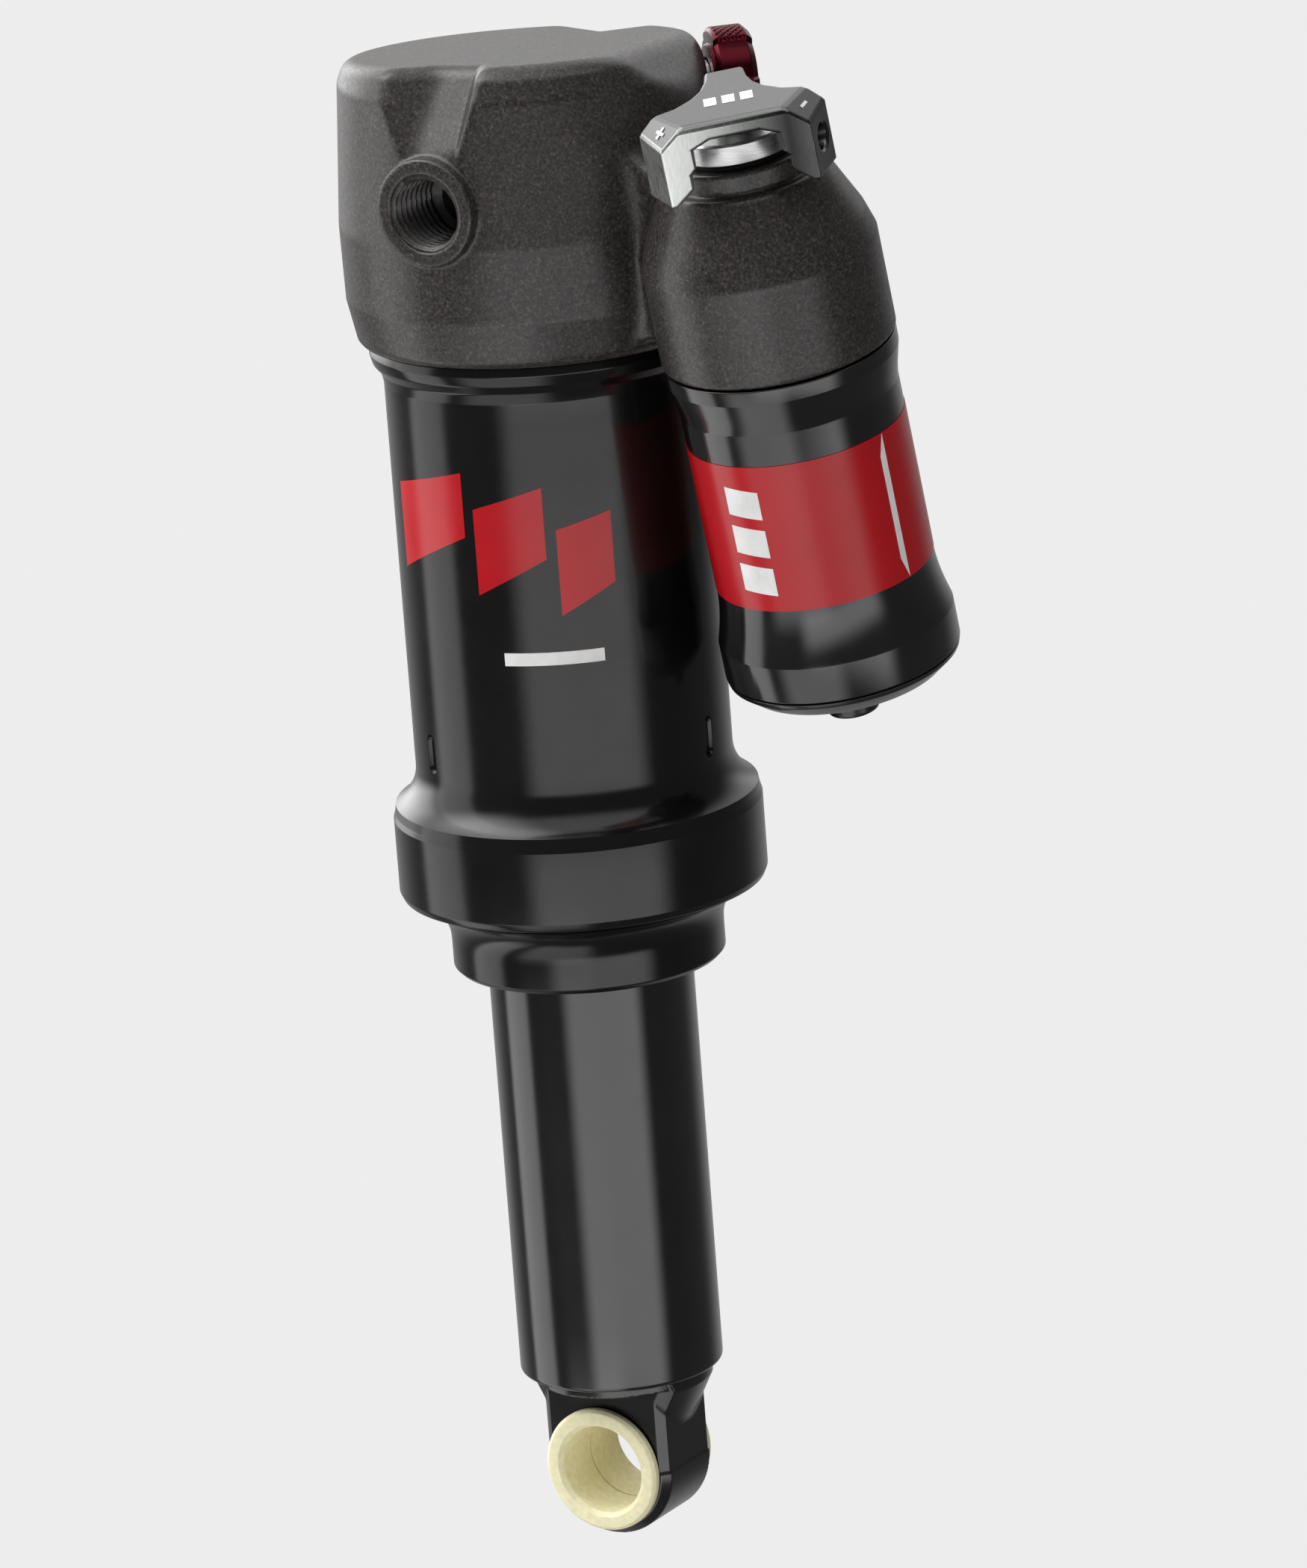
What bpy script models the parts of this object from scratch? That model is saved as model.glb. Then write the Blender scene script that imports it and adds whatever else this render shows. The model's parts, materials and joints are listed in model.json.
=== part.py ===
"""Trunnion-mount piggyback air shock for a mountain bike, 185 x 55 mm.

The origin is the centre of the trunnion axis. +Z runs up along the shock, Y along the trunnion axis,
and +X points to the piggyback reservoir. Lengths below are in millimetres and become metres through MM.
The shock is at full extension, which is where its own air spring holds it.
"""
import math

import bmesh
import bpy
from mathutils import Matrix, Vector

MM = 0.001

# ---- Driving dimensions ---------------------------------------------------------------------------
EYE_TO_EYE = 185.0          # trunnion axis to eyelet axis, at full extension
STROKE = 55.0               # travel of the damper body into the air can
TRUNNION_WIDTH = 54.0       # across the two trunnion faces
TRUNNION_THREAD = 10.0      # thread diameter of the trunnion holes
TRUNNION_DEPTH = 10.5
EYELET_WIDTH = 12.7
EYELET_RADIUS = 10.1
BUSH_BORE = 12.7
TUBE_DIAMETER = 28.575
TUBE_WALL = 1.55
CAN_RADIUS = 22.0
CAN_BORE = 19.4             # radius of the air piston's bore
COLLAR_RADIUS = 25.65
SHAFT_RADIUS = 4.5
GAP = 0.3                   # clearance between pieces that meet

# The reservoir's own axis passes through RESERVOIR_AT, the zero of every height along it.
RESERVOIR_AT = (39.6, -8.8, 2.1)
RESERVOIR_LEAN_Y = 10.8     # degrees the foot swings toward +Y
RESERVOIR_LEAN_X = -1.8     # degrees the foot swings toward +X
RESERVOIR_RADIUS = 14.95
RESERVOIR_BORE = 12.4
RESERVOIR_TOP = 15.9        # radius of its ring under the dome
DOME_RADIUS = 16.05

LEVER_HEADING = -58.0       # degrees from +X to the middle of the lever's front face
KNOB_HEADING = 44.0         # degrees from +X to the rebound adjuster, which points at the main axis
KNOB_HEIGHT = 10.2
VALVE_HEADING = 135.0
VALVE_HEIGHT = -4.0

LARGE = 24                  # sides of the big turned shells
MEDIUM = 18
SMALL = 12

TUBE_RADIUS = TUBE_DIAMETER / 2
TUBE_BORE = TUBE_RADIUS - TUBE_WALL
TRUNNION_FACE = TRUNNION_WIDTH / 2
EYELET_FACE = EYELET_WIDTH / 2


# ---- Scene, materials and small helpers -----------------------------------------------------------
for old in list(bpy.data.objects):
    bpy.data.objects.remove(old, do_unlink=True)

shock = bpy.data.collections.new("rear_shock")
cutters = bpy.data.collections.new("cutters")
bpy.context.scene.collection.children.link(shock)
bpy.context.scene.collection.children.link(cutters)


def finish(name, colour, roughness, metallic):
    """A plain surface for one sub-part."""
    material = bpy.data.materials.new(name)
    material.use_nodes = True
    shader = material.node_tree.nodes["Principled BSDF"]
    shader.inputs["Base Color"].default_value = (*colour, 1.0)
    shader.inputs["Roughness"].default_value = roughness
    shader.inputs["Metallic"].default_value = metallic
    return material


CAST = ((0.085, 0.08, 0.078), 0.6, 0.3)
BLACK = ((0.012, 0.012, 0.013), 0.2, 0.4)
SATIN = ((0.42, 0.43, 0.42), 0.3, 1.0)
STEEL = ((0.55, 0.55, 0.56), 0.25, 1.0)
CHROME = ((0.75, 0.75, 0.76), 0.1, 1.0)
BRASS = ((0.6, 0.45, 0.2), 0.3, 1.0)
BRONZE = ((0.42, 0.3, 0.16), 0.4, 1.0)
RED = ((0.35, 0.02, 0.05), 0.25, 0.9)
RUBBER = ((0.02, 0.02, 0.02), 0.8, 0.0)
URETHANE = ((0.6, 0.5, 0.12), 0.6, 0.0)
CREAM = ((0.82, 0.79, 0.48), 0.5, 0.0)
WHITE = ((0.75, 0.74, 0.7), 0.5, 0.0)
GREY_PLASTIC = ((0.12, 0.12, 0.125), 0.5, 0.0)


def adopt(obj, collection, look=None, parent=None):
    """Puts an object in its collection, gives it its surface and hangs it on its parent."""
    collection.objects.link(obj)
    obj.parent = parent
    if look:
        obj.data.materials.append(finish(obj.name, *look))
    if collection is cutters:
        obj.hide_render = True
        obj.display_type = 'WIRE'
    return obj


def axis_empty(name, at, z_axis, x_hint=(1, 0, 0)):
    """An empty at a point, in millimetres, whose Z runs along an axis of the shock."""
    up = Vector(z_axis).normalized()
    side = Vector(x_hint) - Vector(x_hint).dot(up) * up
    side.normalize()
    empty = bpy.data.objects.new(name, None)
    turn = Matrix((side, up.cross(side), up)).transposed().to_4x4()
    empty.matrix_world = Matrix.Translation(Vector(at) * MM) @ turn
    shock.objects.link(empty)
    return empty


def turned(name, profile, look=None, sides=MEDIUM, parent=None, at=0.0, collection=None):
    """A lathe-turned piece. The profile, (radius, height) in mm, runs down its outer side from the top;
    one that never touches the axis is closed up its inner side. at is the height of the object's origin."""
    mesh = bpy.data.meshes.new(name)
    points = [(r * MM, 0.0, (z - at) * MM) for r, z in profile]
    edges = [(i, i + 1) for i in range(len(points) - 1)]
    if min(r for r, _ in profile) > 0:
        edges.append((len(points) - 1, 0))
    mesh.from_pydata(points, edges, [])
    obj = bpy.data.objects.new(name, mesh)
    obj.location.z = at * MM
    adopt(obj, shock if collection is None else collection, look, parent)
    screw = obj.modifiers.new("Turn", 'SCREW')
    screw.steps = sides
    screw.render_steps = sides
    screw.use_merge_vertices = True
    screw.merge_threshold = 0.00001
    screw.use_smooth_shade = False
    return obj


def ring(name, inner, outer, top, bottom, look, sides=SMALL, parent=None, chamfer=0.0, at=0.0):
    """A plain turned ring, with its outer corners chamfered if asked."""
    c = chamfer
    profile = [(outer, top), (outer, bottom)]
    if c:
        profile = [(outer - c, top), (outer, top - c), (outer, bottom + c), (outer - c, bottom)]
    return turned(name, profile + [(inner, bottom), (inner, top)], look, sides, parent, at)


def disc(name, radius, top, bottom, look=None, sides=SMALL, parent=None, collection=None):
    """A plain turned disc or rod."""
    profile = [(0, top), (radius, top), (radius, bottom), (0, bottom)]
    return turned(name, profile, look, sides, parent, collection=collection)


def seal(name, inner, outer, height, look=RUBBER, sides=MEDIUM, parent=None):
    """A ring of square section, as tall as it is wide, centred on a height."""
    reach = (outer - inner) / 2
    return ring(name, inner, outer, height + reach, height - reach, look, sides, parent)


def hull(name, points, look=None, parent=None, collection=None):
    """The convex block whose corners are the given points, in millimetres."""
    mesh = bpy.data.meshes.new(name)
    work = bmesh.new()
    for point in points:
        work.verts.new(Vector(point) * MM)
    bmesh.ops.convex_hull(work, input=work.verts)
    bmesh.ops.recalc_face_normals(work, faces=work.faces)
    work.to_mesh(mesh)
    work.free()
    obj = bpy.data.objects.new(name, mesh)
    return adopt(obj, cutters if collection is None else collection, look, parent)


def prism(name, outline, low, high, look=None, parent=None, collection=None, turn=None):
    """A flat outline in mm, raised from low to high along the object's Z."""
    curve = bpy.data.curves.new(name, 'CURVE')
    curve.dimensions = '2D'
    curve.fill_mode = 'BOTH'
    curve.extrude = (high - low) / 2 * MM
    spline = curve.splines.new('POLY')
    spline.points.add(len(outline) - 1)
    for point, (x, y) in zip(spline.points, outline):
        point.co = (x * MM, y * MM, 0, 1)
    spline.use_cyclic_u = True
    drawn = bpy.data.objects.new(name + "_outline", curve)
    bpy.context.scene.collection.objects.link(drawn)
    graph = bpy.context.evaluated_depsgraph_get()
    mesh = bpy.data.meshes.new_from_object(drawn.evaluated_get(graph))
    bpy.data.objects.remove(drawn)
    work = bmesh.new()
    work.from_mesh(mesh)
    bmesh.ops.remove_doubles(work, verts=work.verts, dist=0.00001)
    bmesh.ops.translate(work, verts=work.verts, vec=(0, 0, (high + low) / 2 * MM))
    if turn:
        bmesh.ops.transform(work, matrix=turn, verts=work.verts)
    bmesh.ops.recalc_face_normals(work, faces=work.faces)
    work.to_mesh(mesh)
    work.free()
    mesh.name = name
    obj = bpy.data.objects.new(name, mesh)
    return adopt(obj, cutters if collection is None else collection, look, parent)


def combine(obj, operation, *tools):
    """Joins the tools to an object, or cuts it with them, one Boolean each."""
    for tool in tools:
        step = obj.modifiers.new(tool.name, 'BOOLEAN')
        step.operation = operation
        step.object = tool
        step.solver = 'EXACT'


def cutter_disc(name, radius, top, bottom, parent=None, sides=SMALL):
    return disc(name, radius, top, bottom, None, sides, parent, cutters)


def arc(centre, radius, start, end, count):
    """Points on a circle, both ends included, angles in degrees."""
    steps = [math.radians(start + (end - start) * k / (count - 1)) for k in range(count)]
    return [(centre[0] + radius * math.cos(a), centre[1] + radius * math.sin(a)) for a in steps]


# ---- Axes -----------------------------------------------------------------------------------------
def heading(degrees):
    return (math.cos(math.radians(degrees)), math.sin(math.radians(degrees)), 0.0)


lean = Matrix.Rotation(math.radians(RESERVOIR_LEAN_X), 3, 'Y') @ Matrix.Rotation(
    math.radians(RESERVOIR_LEAN_Y), 3, 'X')
reservoir_axis = axis_empty("reservoir_axis", RESERVOIR_AT, lean @ Vector((0, 0, 1)))
lever_axis = axis_empty("lever_axis", RESERVOIR_AT, lean @ Vector((0, 0, 1)), heading(LEVER_HEADING))
knob_axis = axis_empty("knob_axis", (0, 0, KNOB_HEIGHT), heading(KNOB_HEADING), (0, 0, 1))
valve_axis = axis_empty("valve_axis", (0, 0, VALVE_HEIGHT), heading(VALVE_HEADING), (0, 0, 1))
near_trunnion = axis_empty("near_trunnion", (0, 0, 0), (0, -1, 0))
far_trunnion = axis_empty("far_trunnion", (0, 0, 0), (0, 1, 0))
eyelet_axis = axis_empty("eyelet_axis", (0, 0, -EYE_TO_EYE), (0, -1, 0))


# ---- Head casting: trunnion block, reservoir dome and the web between them ------------------------
HEAD_BOTTOM = -22.0
SOCKET_RADIUS = 21.3        # thread socket for the air can
SOCKET_TOP = -11.7
DOME_BOTTOM = -23.3         # along the reservoir's own axis, as every height on it
DOME_SOCKET = 13.6
VALVE_CHAMBER = 9.4
TOP_HEIGHT = 17.3           # of the sloping top face, on the main axis
TOP_SLOPE = (0.0413, -0.0661)
FACET_NORMAL = (0.70, 0.13, 0.70)  # of the flat cut on the top edge, towards the lever
FACET_REACH = 26.3

# Each side of the pocket over a trunnion boss: a direction out of the metal, and the side's place along it.
POCKET_LEFT = ((0.461, -0.798, 0.388), 21.61)
POCKET_FLOOR = ((-0.014, -0.866, 0.5), 25.33)
POCKET_RIGHT = ((-0.773, -0.537, 0.339), 12.61)
POCKET_OUTSIDE = ((0, -1, 0), 34)
FAR_POCKET_DEEPER = 3.0
POCKET_FOOT = 5.0


def meeting(first, second, z):
    """The point at a height where two upright-ish planes cross."""
    (a, b, c), d = first
    (e, f, g), h = second
    d, h = d - c * z, h - g * z
    return ((d * f - b * h) / (a * f - b * e), (a * h - d * e) / (a * f - b * e), z)


def head_casting():
    head = turned("head_casting", [
        (0, 26), (18.5, 26), (22.5, 19), (23.9, 17.4), (25.05, 14.4), (26.33, -5.2), (26.2, -15.2),
        (25.15, -20.9), (24.4, -21.7), (23.0, HEAD_BOTTOM), (0, HEAD_BOTTOM)], CAST, LARGE)
    lever_facet = hull("lever_facet", [
        (x, y, (FACET_REACH - FACET_NORMAL[0] * x - FACET_NORMAL[1] * y) / FACET_NORMAL[2] + rise)
        for x in (10, 32) for y in (-26, 26) for rise in (0, 20)])
    pockets = []
    for name, side, deeper in (("near_pocket", -1, 0), ("far_pocket", 1, FAR_POCKET_DEEPER)):
        floor = (POCKET_FLOOR[0], POCKET_FLOOR[1] - deeper)
        corners = [meeting(first, second, z) for z in (POCKET_FOOT, 27) for first, second in (
            (POCKET_LEFT, floor), (floor, POCKET_RIGHT), (POCKET_LEFT, POCKET_OUTSIDE),
            (POCKET_RIGHT, POCKET_OUTSIDE))]
        pockets.append(hull(name, [(x, -side * y, z) for x, y, z in corners]))
    combine(head, 'DIFFERENCE', lever_facet, *pockets)
    near_boss = cutter_disc("near_boss", 7.4, TRUNNION_FACE, 14, near_trunnion, MEDIUM)
    far_boss = cutter_disc("far_boss", 7.4, TRUNNION_FACE, 14, far_trunnion, MEDIUM)
    web = hull("web", [
        (x, y, z) for x, side, half, low, high in ((12, 0, 10, -21.2, 9), (38, -4, 9, -17.5, 0.5))
        for y in (side - half, side + half) for z in (low, high)])
    dome = turned("dome", [
        (0, 3.6), (7.9, 3.6), (7.9, 4.8), (9.3, 4.8), (9.6, 4.5), (9.6, 1.8), (11.4, 1.8), (15.0, -6.2),
        (DOME_RADIUS, -9.2), (DOME_RADIUS, DOME_BOTTOM), (0, DOME_BOTTOM)],
        None, LARGE, reservoir_axis, collection=cutters)
    combine(head, 'UNION', near_boss, far_boss, web, dome)

    def top_at(x, y):
        return TOP_HEIGHT + TOP_SLOPE[0] * x + TOP_SLOPE[1] * y

    sloping_top = hull("sloping_top", [
        (x, y, z) for x in (-30, 30) for y in (-30, 30) for z in (top_at(x, y), 40)])
    inside = turned("head_bore", [
        (0, 11), (2.6, 11), (2.6, -0.5), (4.8, -0.8), (4.8, -8.4), (9.6, -8.4), (9.6, SOCKET_TOP),
        (SOCKET_RADIUS, SOCKET_TOP), (SOCKET_RADIUS, -30), (0, -30)], None, LARGE, collection=cutters)
    dome_bore = turned("dome_bore", [
        (0, 8), (2.8, 8), (2.8, -3), (VALVE_CHAMBER, -3), (VALVE_CHAMBER, -12), (DOME_SOCKET, -12),
        (DOME_SOCKET, DOME_BOTTOM), (RESERVOIR_TOP + GAP, DOME_BOTTOM), (RESERVOIR_TOP + GAP, -30),
        (0, -30)], None, LARGE, reservoir_axis, collection=cutters)
    holes = [turned(name, [(0, 30), (5.3, 30), (5.3, TRUNNION_FACE - 1.1),
                           (TRUNNION_THREAD / 2, TRUNNION_FACE - 1.4),
                           (TRUNNION_THREAD / 2, TRUNNION_FACE - TRUNNION_DEPTH),
                           (0, TRUNNION_FACE - TRUNNION_DEPTH - 2.5)], None, 18, axis, collection=cutters)
             for name, axis in (("near_hole", near_trunnion), ("far_hole", far_trunnion))]
    for hole in holes:
        hole.rotation_euler.z = math.radians(5)
    knob_bore = turned("knob_bore", [(0, 30), (4.3, 30), (4.3, 22.5), (2.6, 22.5), (2.6, -2.5), (0, -2.5)],
                       None, SMALL, knob_axis, collection=cutters)
    oil_port = hull("oil_port", [(x, y, z) for x in (2.5, 28) for y in (-1.5, 1.5) for z in (-4.6, -1.8)])
    valve_bore = turned("valve_bore", [(0, 30), (3.9, 30), (3.9, 19.5), (1.6, 17.5), (1.6, 14.5), (0, 14.5)],
                        None, SMALL, valve_axis, collection=cutters)
    x, y, _ = heading(VALVE_HEADING)
    air_port = cutter_disc("air_port", 1.4, VALVE_HEIGHT, SOCKET_TOP - 2, None, 12)
    air_port.location = (x * 16 * MM, y * 16 * MM, 0)
    combine(head, 'DIFFERENCE', sloping_top, inside, dome_bore, *holes,
            knob_bore, oil_port, valve_bore, air_port)


# ---- Air can and what closes it -------------------------------------------------------------------
COLLAR_TOP = -89.3
COLLAR_BOTTOM = -101.0
HOUSING_FOOT = -111.6
HOUSING_BORE = TUBE_RADIUS + 0.4
GRIP_HEIGHT = -78.2


def air_can():
    flare = arc((CAN_RADIUS + 5.6, -83.6), 5.6, 180, 245, 5)
    can = turned("air_can", [
        (20.7, -12.3), (21.0, -12.6), (21.0, -14.8), (20.1, -14.8), (20.1, -16.6), (21.0, -16.6),
        (21.0, -22.3), (23.3, -22.3), (23.6, -23.2), (23.1, -24.9), (22.2, -25.9),
        (CAN_RADIUS, -27), *flare, (COLLAR_RADIUS, COLLAR_TOP), (COLLAR_RADIUS, -99.6), (25.2, -100.6),
        (24.3, COLLAR_BOTTOM), (23.2, COLLAR_BOTTOM), (23.2, -90.5), (CAN_BORE, -89.0), (CAN_BORE, -26.5),
        (18.4, -25.0), (18.4, -12.3)], BLACK, LARGE)
    grips = []
    for k in range(3):
        slot = hull(f"grip_{k}", [
            (r, y, GRIP_HEIGHT + z) for r, half in ((CAN_RADIUS - 0.55, 0.45), (CAN_RADIUS + 1, 1.1))
            for y, z in ((-half, 1.9), (half, 1.9), (0, 2.9), (-half, -1.9), (half, -1.9), (0, -2.9))])
        slot.rotation_euler.z = math.radians(120 * k)
        grips.append(slot)
    combine(can, 'DIFFERENCE', *grips)

    seal("can_seal", 20.5, 21.0, -15.7)
    turned("wiper_housing", [
        (22.9, -95.6), (22.9, COLLAR_BOTTOM - GAP), (23.9, COLLAR_BOTTOM - GAP), (22.4, -102.8),
        (20.6, -104.4), (19.5, -106.0), (18.95, -107.4), (18.95, -110.9), (18.2, HOUSING_FOOT),
        (HOUSING_BORE, HOUSING_FOOT),
        (HOUSING_BORE, -110.9), (16.6, -110.9), (16.6, -108.4), (HOUSING_BORE, -108.4),
        (HOUSING_BORE, -107.6), (15.9, -107.6), (15.9, -101.6), (HOUSING_BORE, -101.6),
        (HOUSING_BORE, -100.8), (16.6, -100.8), (16.6, -98.0), (HOUSING_BORE, -98.0),
        (HOUSING_BORE, -95.6)], BLACK, LARGE)
    ring("wiper_seal", 14.62, 16.3, -108.7, -110.6, RUBBER, MEDIUM)
    ring("guide_bush", 14.62, 15.6, -101.9, -107.3, BRONZE, MEDIUM)
    seal("housing_seal", 14.62, 16.3, -99.4)
    ring("negative_bumper", 15.0, 18.0, -93.2, -95.3, URETHANE, MEDIUM)
    turned("volume_spacer", [(CAN_BORE - 1.3, -13.0), (CAN_BORE - 1.3, -24.0), (14.0, -24.0), (14.0, -22.0),
                             (16.6, -22.0), (16.6, -13.0)], GREY_PLASTIC, MEDIUM)
    ring("bottom_out_bumper", 4.9, 9.2, -8.8, -20.0, URETHANE, MEDIUM, chamfer=0.8)


# ---- Damper shaft and main piston, fixed to the head ----------------------------------------------
PISTON_TOP = -102.0
PISTON_BOTTOM = -108.6


def damper_shaft():
    turned("damper_shaft", [
        (SHAFT_RADIUS, -6.2), (SHAFT_RADIUS, -99.8), (3.0, -99.8), (3.0, -112.0), (1.2, -112.0),
        (1.2, -101.5), (2.3, -99.0), (2.3, -6.2)], CHROME, MEDIUM)
    ring("top_out_bumper", SHAFT_RADIUS + GAP, 8.0, -98.2, -99.6, URETHANE)
    turned("rebound_shims", [
        (6.0, -100.1), (10.4, -101.2), (10.4, -101.7), (3.3, -101.7), (3.3, -100.1)], STEEL)
    turned("main_piston", [
        (11.6, PISTON_TOP), (12.4, PISTON_TOP - 0.6), (12.4, -103.2), (11.2, -103.2), (11.2, -107.4),
        (12.4, -107.4), (12.4, PISTON_BOTTOM + 0.6), (11.6, PISTON_BOTTOM), (3.3, PISTON_BOTTOM),
        (3.3, PISTON_TOP)], SATIN)
    ring("piston_band", 11.5, 12.5, -103.5, -107.1, BRONZE, MEDIUM)
    turned("compression_shims", [
        (10.4, -108.9), (10.4, -109.3), (6.0, -109.9), (3.3, -109.9), (3.3, -108.9)], STEEL)
    ring("piston_nut", 3.6, 5.4, -110.2, -112.3, STEEL, 6)


def rebound_rod():
    """Runs down inside the damper shaft and ends in a needle tip."""
    turned("rebound_rod", [(0, 7.6), (2.0, 7.6), (2.0, -97.0), (0.6, -101.0), (0, -101.0)], STEEL, 16)


# ---- Damper body: slides in the can, and turns in its seals ---------------------------------------
def damper_body():
    turned("air_piston", [
        (18.4, -82.6), (19.0, -83.2), (19.0, -84.6), (17.2, -84.6), (17.2, -88.0), (19.0, -88.0),
        (19.0, -88.6), (18.2, -88.6), (18.2, -90.6), (19.0, -90.6), (19.0, -91.2), (18.6, -91.6),
        (12.4, -91.6), (12.4, -93.4), (11.2, -93.4), (11.2, -95.2), (12.4, -95.2), (12.4, -97.6),
        (4.8, -97.6), (4.8, -96.6), (6.6, -96.6), (6.6, -94.0), (4.8, -94.0), (4.8, -93.0),
        (5.8, -93.0), (5.8, -86.0), (4.8, -86.0), (4.8, -84.4), (6.4, -82.6)], SATIN, MEDIUM)
    seal("air_piston_seal", 17.6, 19.15, -86.3)
    ring("air_piston_band", 18.5, 19.15, -88.9, -90.3, WHITE, MEDIUM)
    ring("shaft_bush", 4.75, 5.5, -86.3, -92.7, BRONZE)
    seal("shaft_seal", 4.8, 6.3, -95.3, sides=SMALL)
    seal("tube_seal", 11.35, 12.45, -94.3)
    turned("body_tube", [
        (TUBE_RADIUS - 0.4, -91.9), (TUBE_RADIUS, -92.4), (TUBE_RADIUS, -169.8), (TUBE_RADIUS - 0.4, -170.8),
        (TUBE_RADIUS - 1.4, -171.2), (TUBE_BORE, -171.2), (TUBE_BORE, -91.9)], BLACK, LARGE)
    eyelet()
    turned("eyelet_seal", [(12.4, -169.1), (12.4, -169.9), (11.9, -169.9), (11.9, -169.1)], RUBBER, MEDIUM)


EYELET_TOP = -171.5


def eyelet():
    shoulder = [(12.8, EYELET_TOP), (12.8, -173.2), (12.5, -174.0), *arc((16.05, -178.9), 6.0, 130, 178, 5)]
    right = shoulder + arc((0, -EYE_TO_EYE), EYELET_RADIUS, 0, -90, 9)
    outline = right + [(-x, z) for x, z in reversed(right[:-1])]
    stand = Matrix.Rotation(math.radians(90), 4, 'X')
    lug = prism("eyelet", outline, -EYELET_FACE, EYELET_FACE, BLACK, collection=shock, turn=stand)
    lathe = turned("eyelet_round", [(0, EYELET_TOP + 1), (12.8, EYELET_TOP + 1), (12.8, -200), (0, -200)],
                   None, LARGE, collection=cutters)
    combine(lug, 'INTERSECT', lathe)
    plug = turned("eyelet_plug", [
        (0, -168.6), (12.1, -168.6), (12.45, -168.8), (12.45, -168.9), (11.6, -168.9), (11.6, -170.1),
        (12.45, -170.1), (12.45, EYELET_TOP - 0.5), (0, EYELET_TOP - 0.5)],
        None, LARGE, collection=cutters)
    combine(lug, 'UNION', plug)
    bore = cutter_disc("eyelet_bore", 8.0, 20, -20, eyelet_axis, MEDIUM)
    combine(lug, 'DIFFERENCE', bore)
    for side, name in ((1, "near_bush"), (-1, "far_bush")):
        bush = turned(name, [
            (8.4, 7.95), (8.95, 7.35), (8.95, EYELET_FACE + GAP), (7.7, EYELET_FACE + GAP), (7.7, 0.2),
            (BUSH_BORE / 2, 0.2), (BUSH_BORE / 2, 7.4), (6.8, 7.95)], CREAM, MEDIUM, eyelet_axis)
        if side < 0:
            bush.rotation_euler.x = math.pi


# ---- Reservoir ------------------------------------------------------------------------------------
def reservoir():
    top = DOME_BOTTOM - GAP
    turned("reservoir_tube", [
        (13.3, -12.9), (13.3, top), (RESERVOIR_TOP, top), (RESERVOIR_TOP, -25.6), (15.3, -27.8),
        (RESERVOIR_RADIUS, -29.8),
        (RESERVOIR_RADIUS, -57.0), (15.3, -60.0), (16.2, -63.9), (16.25, -69.5), (13.7, -69.5),
        (13.7, -64.0), (RESERVOIR_BORE, -63.0), (RESERVOIR_BORE, -12.9)], BLACK, LARGE, reservoir_axis)
    turned("reservoir_cap", [
        (13.3, -64.6), (13.3, -69.8), (16.1, -69.8), (15.9, -70.4), (13.6, -72.3), (12.6, -72.8),
        (4.0, -72.8), (4.0, -70.8), (1.2, -70.0), (1.2, -66.6), (9.0, -66.6), (9.0, -64.6)],
        BLACK, LARGE, reservoir_axis)
    turned("gas_fill_plug", [
        (0, -71.3), (3.6, -71.3), (3.6, -77.3), (3.2, -77.9), (1.6, -77.9), (1.6, -76.5), (0, -76.5)],
        BLACK, SMALL, reservoir_axis)
    turned("floating_piston", [
        (0, -44.0), (12.0, -44.0), (12.0, -45.2), (10.6, -45.2), (10.6, -48.2), (12.0, -48.2),
        (12.0, -52.0), (9.6, -52.0), (9.0, -46.0), (0, -46.0)], SATIN, MEDIUM, reservoir_axis)
    seal("floating_piston_seal", 10.8, 12.2, -46.7, parent=reservoir_axis)
    turned("base_valve", [
        (9.1, -4.2), (9.1, -12.3), (12.1, -12.3), (12.1, -16.5), (3.4, -16.5), (3.4, -8.2),
        (7.0, -8.2), (7.0, -4.2)], SATIN, MEDIUM, reservoir_axis)
    ring("base_valve_shims", 3.4, 8.4, -16.8, -17.7, STEEL, SMALL, reservoir_axis)
    turned("base_valve_bolt", [
        (5.6, -5.8), (5.6, -7.9), (3.1, -7.9), (3.1, -19.6), (1.3, -19.6), (1.3, -12.0), (2.9, -10.0),
        (2.9, -5.8)], STEEL, SMALL, reservoir_axis)
    ring("base_valve_nut", 3.7, 5.4, -18.0, -19.6, STEEL, 6, reservoir_axis)


# ---- Compression lever, on the reservoir's axis ---------------------------------------------------
PLATE_TOP = 14.4
PLATE_THICK = 2.4
LEVER_FRONT = 14.4
LEG_FOOT = 3.5


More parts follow.
